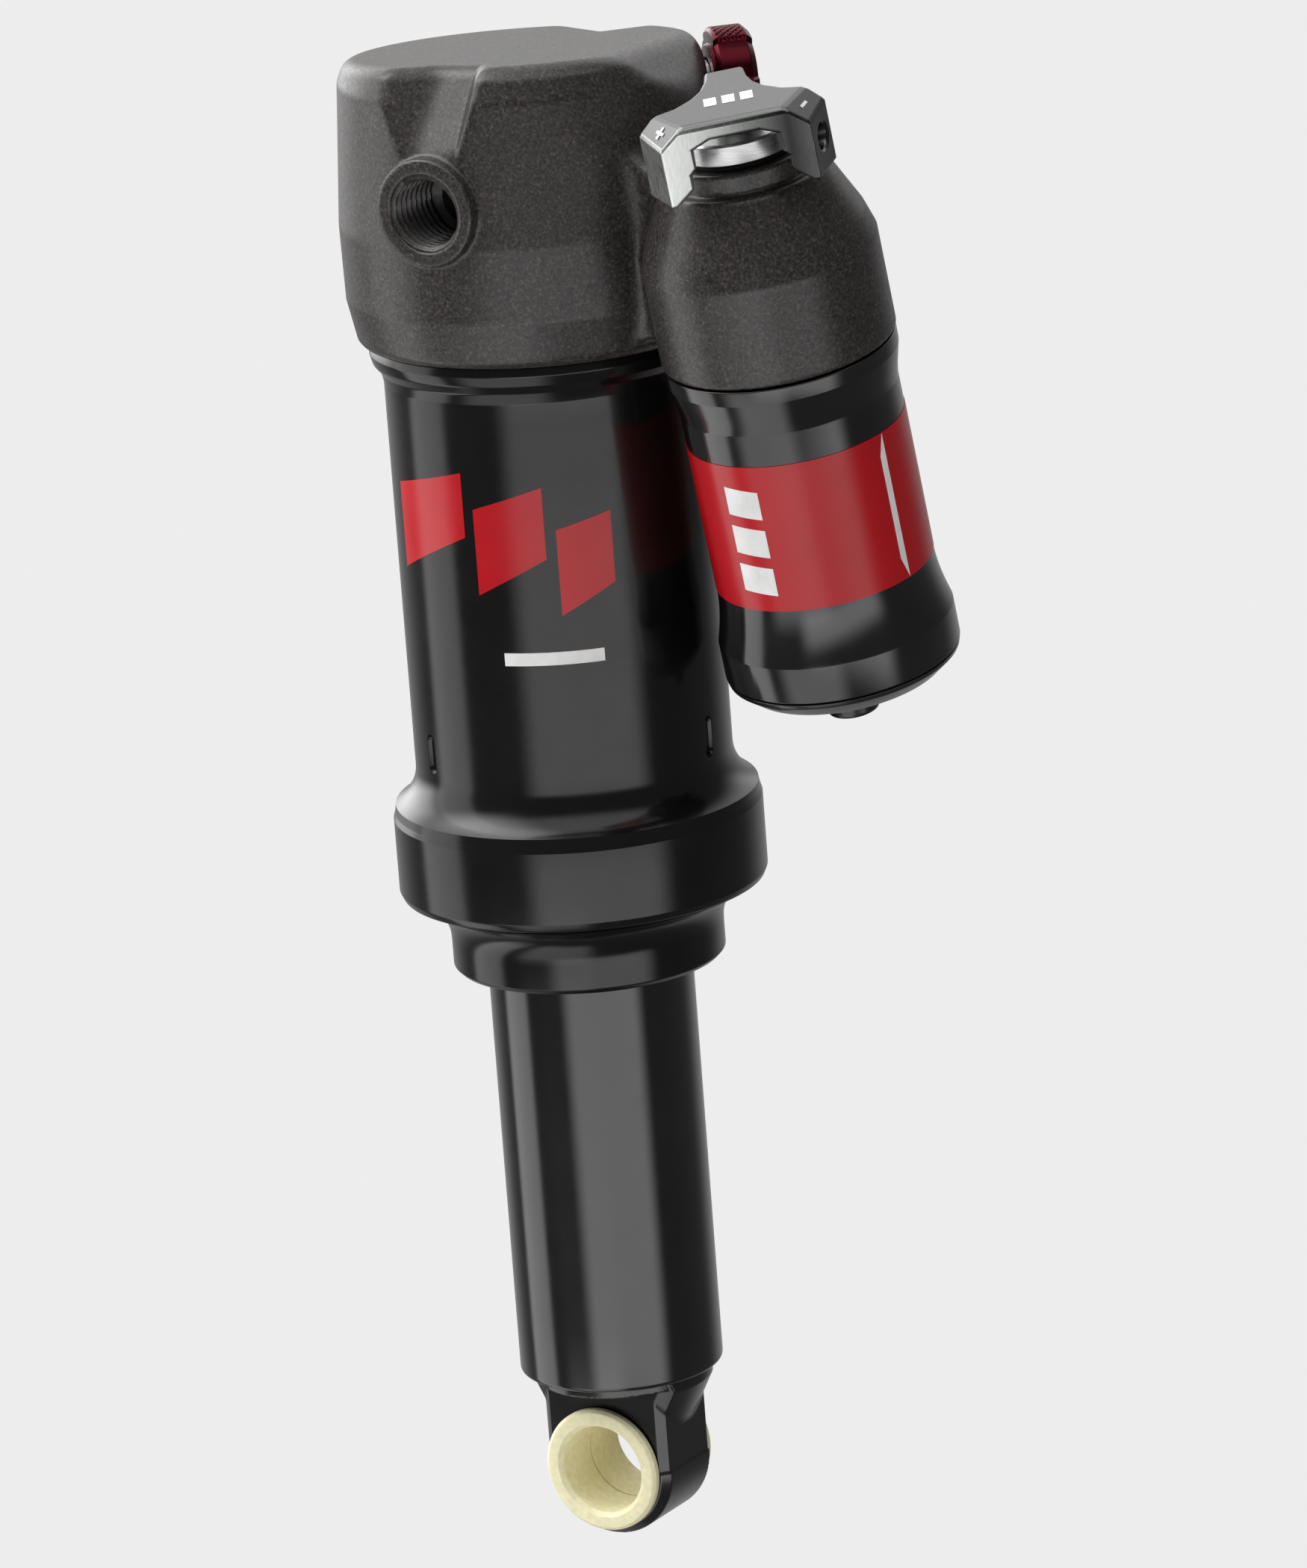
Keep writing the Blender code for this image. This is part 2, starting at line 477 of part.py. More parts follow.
def compression_lever():
    half = [(LEVER_FRONT, 10.0), (7.9, 12.5), (7.4, 10.0), (6.2, 7.4), (3.9, 5.2), (1.2, 3.7), (-2.0, 2.9),
            (-5.3, 2.6)]
    outline = [(x, -y) for x, y in half] + [(x, y) for x, y in reversed(half)]
    lever = prism("compression_lever", outline, LEG_FOOT, PLATE_TOP, SATIN, lever_axis, shock)
    reach = 20.0
    under = hull("lever_underside", [
        (x, y, z) for x in (-9, 7.0) for y in (-reach, reach) for z in (-1, PLATE_TOP - PLATE_THICK)],
        parent=lever_axis)
    arch = hull("lever_arch", [(x, side * y, z) for x in (4, 20) for side in (-1, 1) for y, z in (
        (6.6, -1), (6.6, 7.6), (5.8, 8.4), (5.8, 10.9), (3.4, 11.9))], parent=lever_axis)
    tools = [under, arch]
    for side in (-1, 1):
        tools.append(hull(f"lever_leg_{side}", [(x, side * y, z) for x in (4, 20) for y, z in (
            (5.0, 6.9), (14.0, 0.9), (14.0, -3), (5.0, -3))], parent=lever_axis))
        tools.append(hull(f"lever_corner_{side}", [(x, side * y, z) for x, y, z in (
            (6.3, 10.2, PLATE_TOP), (14.6, 6.9, PLATE_TOP), (6.9, 13.1, 12.2), (15.0, 9.9, 12.2),
            (6.9, 22, 12.2), (22, 9.9, 12.2), (6.3, 10.2, 22), (14.6, 6.9, 22), (22, 22, 22), (6.9, 22, 22),
            (22, 9.9, 22))], parent=lever_axis))
    hub = disc("lever_hub", 3.9, PLATE_TOP - 1.0, 9.0, None, SMALL, lever_axis, cutters)
    combine(lever, 'DIFFERENCE', *tools)
    combine(lever, 'UNION', hub)
    spindle_hole = cutter_disc("lever_spindle_hole", 2.6, 12.6, 0, lever_axis, 16)
    side_hole = turned("lever_side_hole", [(0, 22), (1.75, 22), (1.75, 8.2), (0, 8.2)], None, 16, lever_axis,
                       collection=cutters)
    side_hole.rotation_euler.x = math.radians(-90)
    side_hole.location = (10.9 * MM, 0, 8.2 * MM)
    combine(lever, 'DIFFERENCE', spindle_hole, side_hole)
    turned("lever_spindle", [(0, 12.2), (2.3, 12.2), (2.3, -3.8), (2.0, -4.3), (0, -4.3)], STEEL, 16,
           lever_axis)
    ring("lever_disc", 2.6, 8.3, 8.6, 5.4, SATIN, LARGE, lever_axis, chamfer=0.3)
    ring("spindle_washer", 2.6, 7.4, 5.1, 3.9, RUBBER, MEDIUM, lever_axis)
    turned("compression_needle", [(0, -5.2), (2.4, -5.2), (2.4, -8.0), (1.0, -11.0), (0, -11.0)], BRASS, 16,
           lever_axis)


# ---- Rebound adjuster -----------------------------------------------------------------------------
def rebound_adjuster():
    knob = turned("rebound_knob", [
        (2.6, 31.8), (5.4, 31.8), (6.5, 31.0), (6.7, 30.4), (6.7, 26.8), (6.2, 26.3), (4.0, 25.9),
        (2.6, 25.9)], RED, 24, knob_axis)
    grips = []
    for k in range(4):
        grip = hull(f"knob_recess_{k}", [
            (y, x, z) for y, x in ((-2.6, 7.4), (2.6, 7.4), (-1.9, 6.25), (1.9, 6.25)) for z in (25, 35)],
            parent=knob_axis)
        grip.rotation_euler.z = math.radians(90 * k + 45)
        grips.append(grip)
    combine(knob, 'DIFFERENCE', *grips)
    turned("rebound_spindle", [
        (0, 31.8), (2.3, 31.8), (2.3, 2.0), (1.2, 0.9), (1.2, -1.4), (0, -1.4)], STEEL, 16, knob_axis)
    ring("rebound_spindle_seal", 2.6, 4.0, 24.4, 22.8, RUBBER, SMALL, knob_axis)


# ---- Air valve, behind the head -------------------------------------------------------------------
def air_valve():
    turned("valve_stem", [
        (2.6, 33.6), (2.6, 28.0), (4.6, 27.5), (4.6, 26.8), (3.6, 26.8), (3.6, 20.3), (1.2, 19.6),
        (1.2, 20.8), (1.7, 21.4), (1.7, 33.6)], BRASS, SMALL, valve_axis)
    turned("valve_core", [(1.4, 32.6), (1.4, 21.6), (0.8, 21.6), (0.8, 32.6)], BRASS, 16, valve_axis)
    turned("valve_pin", [(0, 33.2), (0.5, 33.2), (0.5, 21.4), (0, 21.4)], STEEL, 8, valve_axis)
    turned("valve_cap", [
        (0, 35.8), (3.6, 35.8), (4.1, 35.3), (4.1, 28.6), (3.8, 28.3), (2.9, 28.3), (2.9, 34.2), (0, 34.2)],
        GREY_PLASTIC, SMALL, valve_axis)


head_casting()
air_can()
damper_shaft()
rebound_rod()
damper_body()
reservoir()
compression_lever()
rebound_adjuster()
air_valve()
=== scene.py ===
"""The looks of the rear shock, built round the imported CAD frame.

Lengths are in millimetres in the frame's own axes until a mesh is made. Cast and machined shapes are
distance fields turned into meshes, and everything that comes off a lathe is a revolved profile.
"""
import json
import math

import bmesh
import bpy
import numpy as np
from mathutils import Matrix, Vector


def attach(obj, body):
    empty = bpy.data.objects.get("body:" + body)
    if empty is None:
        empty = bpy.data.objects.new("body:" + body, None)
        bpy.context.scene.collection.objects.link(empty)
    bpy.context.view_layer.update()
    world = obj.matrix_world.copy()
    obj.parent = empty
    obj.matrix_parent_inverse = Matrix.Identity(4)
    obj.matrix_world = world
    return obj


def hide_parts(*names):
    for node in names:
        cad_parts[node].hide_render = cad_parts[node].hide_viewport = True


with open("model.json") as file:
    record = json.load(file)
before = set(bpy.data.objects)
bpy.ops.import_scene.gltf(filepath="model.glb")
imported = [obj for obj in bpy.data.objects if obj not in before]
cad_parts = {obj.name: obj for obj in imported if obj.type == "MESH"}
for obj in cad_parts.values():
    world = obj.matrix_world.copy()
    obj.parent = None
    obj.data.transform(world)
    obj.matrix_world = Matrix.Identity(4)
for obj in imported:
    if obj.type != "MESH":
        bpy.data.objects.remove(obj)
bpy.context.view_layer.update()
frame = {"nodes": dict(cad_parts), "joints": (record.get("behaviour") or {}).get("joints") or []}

MM = 0.001
EYE_TO_EYE = 185.0
LEVER_HEADING, VALVE_HEADING = -58, 135     # degrees round the main axis, from +X
VALVE_HEIGHT = -4
joints = {joint["name"]: joint for joint in frame["joints"]}


# ---- Frames of the pieces ------------------------------------------------------------------------
def basis(at, z_axis, x_hint=(1, 0, 0)):
    """A placement in millimetres whose Z runs along z_axis and whose X leans to x_hint."""
    up = Vector(z_axis).normalized()
    side = (Vector(x_hint) - Vector(x_hint).dot(up) * up).normalized()
    turn = Matrix((side, up.cross(side), up)).transposed().to_4x4()
    return Matrix.Translation(Vector(at)) @ turn


def heading(degrees):
    """The level direction at an angle round the main axis, from +X."""
    return (math.cos(math.radians(degrees)), math.sin(math.radians(degrees)), 0.0)


RESERVOIR_AT = [v / MM for v in joints["lever_turn"]["pos_m"]]
RESERVOIR_UP = joints["lever_turn"]["axis"]
MAIN = Matrix.Identity(4)
RESERVOIR = basis(RESERVOIR_AT, RESERVOIR_UP)
LEVER = basis(RESERVOIR_AT, RESERVOIR_UP, heading(LEVER_HEADING))
KNOB = basis([v / MM for v in joints["rebound_turn"]["pos_m"]], joints["rebound_turn"]["axis"], (0, 0, 1))
VALVE = basis((0, 0, VALVE_HEIGHT), heading(VALVE_HEADING), (0, 0, 1))
NEAR_TRUNNION = basis((0, 0, 0), (0, -1, 0))
FAR_TRUNNION = basis((0, 0, 0), (0, 1, 0))
NEAR_EYE = basis((0, 0, -EYE_TO_EYE), (0, -1, 0))
FAR_EYE = basis((0, 0, -EYE_TO_EYE), (0, 1, 0))


# ---- Meshes --------------------------------------------------------------------------------------
SMOOTH_TURN = 0.12          # radians: a corner that turns less than this needs no fillet
FILLET_STEP = 0.22          # radians of turn for each step of a fillet
FILLET_SHARE = 0.46         # the most of a side that one fillet takes
MERGE = 0.0005              # points nearer than this become one, in millimetres


def mesh_object(name, points, faces, place=MAIN, sharp=None, merge=0.0):
    """An object from arrays of points in mm and of faces with the same number of corners each.

    Edges that bend by more than sharp degrees stay crisp, and points nearer than merge become one."""
    mesh = bpy.data.meshes.new(name)
    turn = np.array(place)
    points = np.asarray(points) @ turn[:3, :3].T + turn[:3, 3]
    mesh.vertices.add(len(points))
    mesh.vertices.foreach_set("co", (points * MM).astype(np.float32).ravel())
    mesh.loops.add(faces.size)
    mesh.loops.foreach_set("vertex_index", faces.astype(np.int32).ravel())
    mesh.polygons.add(len(faces))
    mesh.polygons.foreach_set("loop_start", np.arange(0, faces.size, faces.shape[1], dtype=np.int32))
    mesh.update(calc_edges=True)
    if merge:
        work = bmesh.new()
        work.from_mesh(mesh)
        bmesh.ops.remove_doubles(work, verts=work.verts, dist=merge * MM)
        bmesh.ops.recalc_face_normals(work, faces=work.faces)
        work.to_mesh(mesh)
        work.free()
    mesh.validate()
    mesh.polygons.foreach_set("use_smooth", np.ones(len(mesh.polygons), bool))
    if sharp:
        mesh.set_sharp_from_angle(angle=math.radians(sharp))
    mesh.update()
    obj = bpy.data.objects.new(name, mesh)
    bpy.context.scene.collection.objects.link(obj)
    return obj


def rounded(profile, radius, closed):
    """The profile with its corners filleted. A point's own third value takes the place of the radius."""
    out, count = [], len(profile)
    for i, corner in enumerate(profile):
        here = np.array(corner[:2], float)
        fillet = corner[2] if len(corner) > 2 else radius
        if not closed and i in (0, count - 1) or fillet <= 0:
            out.append(tuple(here))
            continue
        before = np.array(profile[i - 1][:2], float) - here
        after = np.array(profile[(i + 1) % count][:2], float) - here
        long_before, long_after = np.linalg.norm(before), np.linalg.norm(after)
        before, after = before / long_before, after / long_after
        turn = math.pi - math.acos(max(-1.0, min(1.0, float(before @ after))))
        if turn < SMOOTH_TURN:
            out.append(tuple(here))
            continue
        reach = min(fillet * math.tan(turn / 2), FILLET_SHARE * long_before, FILLET_SHARE * long_after)
        start, end = here + before * reach, here + after * reach
        steps = max(3, int(round(turn / FILLET_STEP)))
        for k in range(steps + 1):
            t = k / steps
            out.append(tuple((1 - t) ** 2 * start + 2 * t * (1 - t) * here + t * t * end))
    return out


def ring_faces(rows, sides, closed=True):
    """Quads between neighbouring rings of points, and from the last ring to the first if closed."""
    first = np.arange(rows if closed else rows - 1)[:, None]
    second = (first + 1) % rows
    around = np.arange(sides)
    onward = (around + 1) % sides
    return np.stack([first * sides + around, second * sides + around,
                     second * sides + onward, first * sides + onward], 2).reshape(-1, 4)


def lathe(name, profile, place=MAIN, radius=0.25, sides=144, sharp=40):
    """A revolved (radius, height) profile. One that never touches the axis closes on itself."""
    closed = min(p[0] for p in profile) > 0
    rows = np.array(rounded(profile, radius, closed))
    angles = np.linspace(0, 2 * math.pi, sides, endpoint=False)
    points = np.stack([
        rows[:, 0, None] * np.cos(angles), rows[:, 0, None] * np.sin(angles),
        np.repeat(rows[:, 1, None], sides, 1)], 2).reshape(-1, 3)
    return mesh_object(name, points, ring_faces(len(rows), sides, closed), place, sharp, MERGE)


# ---- Distance fields -----------------------------------------------------------------------------
def join(a, b, k):
    """The union of two fields with a fillet of about k."""
    h = np.clip(0.5 + 0.5 * (b - a) / k, 0, 1)
    return b + (a - b) * h - k * h * (1 - h)


def meet(a, b, k):
    """The intersection of two fields with its edge rounded by about k."""
    return -join(-a, -b, k)


def bevel(a, b, size):
    """The intersection of two fields with a flat chamfer of that size."""
    return np.maximum(np.maximum(a, b), (a + b + size) * math.sqrt(0.5))


def plane(x, y, z, side):
    """The signed height over a plane, given as its normal and its distance from the origin."""
    (a, b, c), reach = side
    return a * x + b * y + c * z - reach


def polygon(u, v, corners):
    """The signed distance to a closed outline, negative inside."""
    nearest = np.full(np.broadcast(u, v).shape, 1e9)
    inside = np.zeros(nearest.shape, bool)
    for (au, av), (bu, bv) in zip(corners, corners[1:] + corners[:1]):
        eu, ev = bu - au, bv - av
        t = np.clip(((u - au) * eu + (v - av) * ev) / (eu * eu + ev * ev), 0, 1)
        nearest = np.minimum(nearest, (u - au - t * eu) ** 2 + (v - av - t * ev) ** 2)
        if ev:
            crosses = (av > v) != (bv > v)
            inside ^= crosses & (u < (v - av) * eu / ev + au)
    return np.sqrt(nearest) * np.where(inside, -1, 1)


def surface(name, field, low, high, step, place=MAIN, settle=2):
    """The skin where a field is zero, as one mesh. Each mixed cell of the grid holds one vertex."""
    axes = [np.arange(a, b + step, step) for a, b in zip(low, high)]
    values = np.broadcast_to(field(*np.meshgrid(*axes, indexing="ij", sparse=True)), [len(a) for a in axes])
    inside = values < 0
    shape = np.array(values.shape)
    cell_ids, points, flips = [], [], []
    for axis in range(3):
        near = tuple(slice(None, -1) if k == axis else slice(None) for k in range(3))
        far = tuple(slice(1, None) if k == axis else slice(None) for k in range(3))
        index = np.argwhere(inside[near] != inside[far])
        a, b = values[near][tuple(index.T)], values[far][tuple(index.T)]
        point = index.astype(float)
        point[:, axis] += a / (a - b)
        u, v = (axis + 1) % 3, (axis + 2) % 3
        ids = []
        for du, dv in ((0, 0), (-1, 0), (-1, -1), (0, -1)):
            cell = index.copy()
            cell[:, u] += du
            cell[:, v] += dv
            ids.append(np.ravel_multi_index(cell.T, shape))
        ids = np.stack(ids, 1)
        cell_ids.append(ids)
        points.append(point)
        flips.append(a >= 0)
    ids, points, flips = np.concatenate(cell_ids), np.concatenate(points), np.concatenate(flips)
    used, compact = np.unique(ids.ravel(), return_inverse=True)
    compact = compact.reshape(ids.shape)
    weight = np.bincount(compact.ravel(), minlength=len(used))
    vertices = np.stack([
        np.bincount(compact.ravel(), np.repeat(points[:, k], 4), len(used)) / weight for k in range(3)], 1)
    vertices = vertices * step + np.array(low)
    reach = step * 0.5
    for _ in range(settle):
        here = field(*vertices.T)
        slope = np.stack([
            field(*(vertices + offset).T) - field(*(vertices - offset).T)
            for offset in np.eye(3) * step * 0.1], 1) / (0.2 * step)
        move = slope * (here / np.maximum((slope ** 2).sum(1), 0.05))[:, None]
        length = np.linalg.norm(move, axis=1, keepdims=True)
        vertices = vertices - move * np.minimum(1, reach / np.maximum(length, 1e-9))
    faces = np.where(flips[:, None], compact[:, ::-1], compact)
    return mesh_object(name, vertices, faces, place)


# ---- Node materials ------------------------------------------------------------------------------
class Look:
    """A Principled material and short ways to wire patterns into it."""

    def __init__(self, name, colour, roughness, metallic=0.0, **sockets):
        self.material = bpy.data.materials.new(name)
        self.material.use_nodes = True
        self.nodes = self.material.node_tree.nodes
        self.links = self.material.node_tree.links
        self.shader = self.nodes["Principled BSDF"]
        self.set(self.shader, "Base Color", (*colour, 1.0))
        self.set(self.shader, "Roughness", roughness)
        self.set(self.shader, "Metallic", metallic)
        for socket, value in sockets.items():
            self.set(self.shader, socket.replace("_", " "), value)
        self.where = self.nodes.new("ShaderNodeTexCoord").outputs["Object"]
        self.bumped = None

    @staticmethod
    def set(node, socket, value):
        """Gives a socket its own value."""
        node.inputs[socket].default_value = value

    def noise(self, size, detail=2.0, stretch=(1, 1, 1), rough=0.5):
        """Noise whose grains are about size millimetres across."""
        spread = self.nodes.new("ShaderNodeMapping")
        spread.inputs["Scale"].default_value = stretch
        self.links.new(self.where, spread.inputs["Vector"])
        node = self.nodes.new("ShaderNodeTexNoise")
        self.set(node, "Scale", 1.0 / (size * MM))
        self.set(node, "Detail", detail)
        self.set(node, "Roughness", rough)
        self.links.new(spread.outputs["Vector"], node.inputs["Vector"])
        return node.outputs["Fac"]

    def ramp(self, source, *stops):
        """A colour ramp from (place, colour) stops."""
        node = self.nodes.new("ShaderNodeValToRGB")
        ramp = node.color_ramp
        while len(ramp.elements) < len(stops):
            ramp.elements.new(0.5)
        for element, (place, colour) in zip(ramp.elements, stops):
            element.position = place
            element.color = (*colour, 1.0)
        self.links.new(source, node.inputs["Fac"])
        return node.outputs["Color"]

    def span(self, source, low, high, to_low, to_high):
        """The source's range from low to high, stretched to another range and clamped."""
        node = self.nodes.new("ShaderNodeMapRange")
        for socket, value in (("From Min", low), ("From Max", high), ("To Min", to_low), ("To Max", to_high)):
            self.set(node, socket, value)
        self.links.new(source, node.inputs["Value"])
        return node.outputs["Result"]

    def mix(self, amount, first, second):
        """A blend of two colours, each a socket or a fixed colour."""
        node = self.nodes.new("ShaderNodeMix")
        node.data_type = 'RGBA'
        self.links.new(amount, node.inputs[0])
        for socket, value in ((node.inputs[6], first), (node.inputs[7], second)):
            if isinstance(value, tuple):
                socket.default_value = (*value, 1.0)
            else:
                self.links.new(value, socket)
        return node.outputs[2]

    def axes(self, source):
        """The X, Y and Z of a vector."""
        node = self.nodes.new("ShaderNodeSeparateXYZ")
        self.links.new(source, node.inputs[0])
        return node.outputs

    def colour(self, source):
        """Feeds the base colour."""
        self.links.new(source, self.shader.inputs["Base Color"])
        return self

    def rough(self, source):
        """Feeds the roughness."""
        self.links.new(source, self.shader.inputs["Roughness"])
        return self

    def bump(self, source, height, strength=1.0):
        """Relief whose full swing is height millimetres."""
        node = self.nodes.new("ShaderNodeBump")
        self.set(node, "Strength", strength)
        self.set(node, "Distance", height * MM)
        self.links.new(source, node.inputs["Height"])
        if self.bumped:
            self.links.new(self.bumped, node.inputs["Normal"])
        self.bumped = node.outputs["Normal"]
        self.links.new(self.bumped, self.shader.inputs["Normal"])
        return self


def cast_look():
    """Matt grey paint with a fine dark and rust-brown fleck."""
    look = Look("cast_grey_paint", (0.03, 0.028, 0.027), 0.34, 0.0, Specular_IOR_Level=0.5)
    fleck = look.noise(0.42, detail=3, rough=0.7)
    look.colour(look.ramp(fleck, (0.36, (0.009, 0.0075, 0.007)), (0.48, (0.027, 0.024, 0.0225)),
                          (0.58, (0.041, 0.0385, 0.0375)), (0.68, (0.12, 0.074, 0.06))))
    look.rough(look.span(look.noise(0.6), 0.3, 0.7, 0.28, 0.40))
    look.bump(look.noise(0.45), 0.02, 0.35)
    look.bump(look.noise(2.4), 0.02, 0.3)
    return look


def gloss_black(name, tone=0.006, roughness=0.16, shine=0.5, coat=0.4):
    """Polished black anodising under a thin clear coat, with slow waves in its gloss."""
    look = Look(name, (tone, tone, tone * 1.05), roughness, 0.0, Specular_IOR_Level=shine, Coat_Weight=coat,
                Coat_Roughness=0.06)
    look.colour(look.ramp(look.noise(9, detail=3), (0.3, (tone * 0.8,) * 3), (0.7, (tone * 1.25,) * 3)))
    look.rough(look.span(look.noise(5, detail=4), 0.3, 0.7, roughness * 0.85, roughness * 1.2))
    look.bump(look.noise(1.6, detail=3), 0.004, 0.3)
    return look


def machined(name, colour, roughness, stretch, metallic=1.0, fine=0.12, relief=0.006):
    """Metal with fine tool lines, long where stretch is small."""
    look = Look(name, colour, roughness, metallic)
    lines = look.noise(fine, detail=3, stretch=stretch)
    darker = tuple(c * 0.88 for c in colour)
    lighter = tuple(min(1.0, c * 1.08) for c in colour)
    look.colour(look.ramp(lines, (0.3, darker), (0.7, lighter)))
    look.rough(look.span(look.noise(fine * 2, stretch=stretch), 0.3, 0.7, roughness * 0.8, roughness * 1.25))
    look.bump(lines, relief, 0.35)
    return look


# Painted shade: the flat darker grey that the lever's upward faces get in place of the metal's colour.
LEVER_TOP_PAINTED_SHADE = (0.15, 0.153, 0.15)
LEVER_FROM, LEVER_TO = 37.0, 57.5           # the lever's reach along X


def paint_lever_light(look):
    """Paints light into the lever's colour: a painted highlight on its front edge, most at its first leg,
    fading to painted shade across it, and a flat darker grey on its upward faces as painted shade.
    """
    across = look.span(look.axes(look.where)["X"], LEVER_FROM * MM, LEVER_TO * MM, 0.0, 1.0)
    # Painted highlight and shade: bright at the lever's low-X end, darkest near its high-X end, a little
    # lighter at the very end.
    front = look.ramp(across, (0.0, (0.62, 0.63, 0.62)), (0.26, (0.44, 0.45, 0.44)),
                      (0.55, (0.15, 0.155, 0.15)), (0.78, (0.028, 0.028, 0.028)),
                      (0.97, (0.10, 0.103, 0.10)))
    facing = look.nodes.new("ShaderNodeTexCoord").outputs["Normal"]
    # Faces that point upward take the top grey, a painted shade.
    upward = look.span(look.axes(facing)["Z"], 0.40, 0.60, 0.0, 1.0)
    look.colour(look.mix(upward, front, LEVER_TOP_PAINTED_SHADE))


def polymer(name, colour, roughness, grain=0.4, depth=0.015, **sockets):
    """A moulded or printed surface with a soft grain of about that size in millimetres."""
    look = Look(name, colour, roughness, 0.0, **sockets)
    darker = tuple(c * 0.9 for c in colour)
    lighter = tuple(min(1.0, c * 1.05) for c in colour)
    look.colour(look.ramp(look.noise(grain * 3, detail=3), (0.3, darker), (0.7, lighter)))
    look.rough(look.span(look.noise(grain), 0.3, 0.7, roughness * 0.9, min(1.0, roughness * 1.1)))
    look.bump(look.noise(grain), depth, 0.5)
    return look


CAST = cast_look()
CAN = gloss_black("can_black", 0.005, 0.16, 0.36, 0.1)
TUBE = gloss_black("tube_black", 0.007, 0.14)
EYELET = gloss_black("eyelet_black", 0.006, 0.2)
RESERVOIR_BLACK = gloss_black("reservoir_black", 0.006, 0.16)
CAP_BLACK = gloss_black("cap_black", 0.009, 0.24)
SILVER = machined("lever_silver", (0.19, 0.195, 0.19), 0.3, (1, 1, 0.08), relief=0.002)
paint_lever_light(SILVER)
DISC_SILVER = machined("disc_silver", (0.46, 0.465, 0.46), 0.30, (0.1, 0.1, 1), relief=0.0002)
RED_METAL = machined("knob_red", (0.066, 0.0026, 0.0072), 0.24, (1, 1, 1), 0.9)
STEEL = machined("steel", (0.56, 0.56, 0.57), 0.25, (0.2, 0.2, 1))
CHROME = machined("hard_chrome", (0.75, 0.75, 0.77), 0.08, (0.2, 0.2, 1), fine=0.08)
BRASS = machined("brass", (0.62, 0.46, 0.2), 0.3, (0.2, 0.2, 1))
BRONZE = machined("bronze", (0.42, 0.29, 0.15), 0.42, (0.3, 0.3, 1))
RUBBER = polymer("nitrile", (0.018, 0.018, 0.019), 0.7)
URETHANE = polymer("urethane", (0.6, 0.48, 0.1), 0.5)
CREAM = polymer("bush_cream", (0.90, 0.845, 0.555), 0.42, 0.3, 0.02, Subsurface_Weight=0.1,
                Subsurface_Radius=(0.0012, 0.001, 0.0004), Specular_IOR_Level=0.4)
WHITE = polymer("white_polymer", (0.76, 0.75, 0.71), 0.5)
GREY = polymer("grey_plastic", (0.11, 0.11, 0.115), 0.48)
VINYL_RED = polymer("vinyl_red", (0.49, 0.006, 0.012), 0.24, 6.0, 0.001, Specular_IOR_Level=0.4)
VINYL_WHITE = polymer("vinyl_white", (0.86, 0.86, 0.85), 0.3, 1.2, 0.004)


def dress(piece, body, look, slot=None, *nodes):
    """Gives a piece its material and the body it rides on, and hides the nodes it stands for. The slot is not
    used.
    """
    piece.data.materials.clear()
    piece.data.materials.append(look.material)
    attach(piece, body)
    if nodes:
        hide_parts(*nodes)
    return piece


# ---- Head casting --------------------------------------------------------------------------------
# Skins and bores are (height, radius) tables. A skin's radii hold the metal in, a bore's keep it out.
HEAD_SKIN = [(-22, 24.3), (-20.9, 25.1), (-15.4, 26.2), (-5.2, 26.36), (14.4, 25.05), (17.4, 23.9),
             (19, 22.5), (26, 18)]
HEAD_FOOT = -22
TOP_HEIGHT, TOP_RISE_X, TOP_RISE_Y = 17.3, 0.0413, -0.0661
LEVER_FACET = ((0.70, 0.13, 0.70), 26.3)
POCKET_LEFT = ((0.461, -0.798, 0.388), 21.61)
POCKET_FLOOR = ((-0.014, -0.866, 0.5), 25.33)
POCKET_RIGHT = ((-0.773, -0.537, 0.339), 12.61)
FAR_POCKET_DEEPER = 3.0
BOSS_RADIUS, BOSS_FACE = 7.4, 27
WEB_START, WEB_END = 12, 38
DOME_SKIN = [(-30, 16.05), (-9.4, 16.05), (-6.0, 14.95), (-2.2, 13.1), (1.8, 11.2), (9, 8)]
DOME_TOP, DOME_FOOT, DOME_SLOPE = 1.8, -23.3, 0.94
NECK_RADIUS, NECK_TOP, RECESS_RADIUS, RECESS_FLOOR = 9.6, 4.8, 7.9, 3.6
MAIN_BORE = [(-40, 21.35), (-11.75, 21.35), (-11.7, 9.6), (-8.4, 9.6), (-8.35, 4.8), (-0.8, 4.8),
             (-0.75, 2.6), (11, 2.6), (11.05, 0), (40, 0)]
DOME_BORE = [(-40, 16.25), (-23.35, 16.25), (-23.3, 13.65), (-12, 13.65), (-11.95, 9.45), (-3, 9.45),
             (-2.95, 2.8), (8, 2.8), (8.05, 0), (40, 0)]
THREAD_PITCH, THREAD_CORE, THREAD_HEIGHT = 1.25, 4.72, 0.55
THREAD_FACE, THREAD_DEPTH, THREAD_SHELL = 26.6, 10.0, 5.9


def graph(height, table):
    """The radius that a table gives at a height."""
    heights, radii = zip(*table)
    return np.interp(height, heights, radii)


def local(place, x, y, z):
    """The coordinates of world points in a placement's own axes."""
    back = np.array(place.inverted())
    return [back[k, 0] * x + back[k, 1] * y + back[k, 2] * z + back[k, 3] for k in range(3)]


def drilled(a, b, c, radius, floor):
    """A round hole along c that ends at a floor."""
    return np.maximum(np.hypot(a, b) - radius, floor - c)


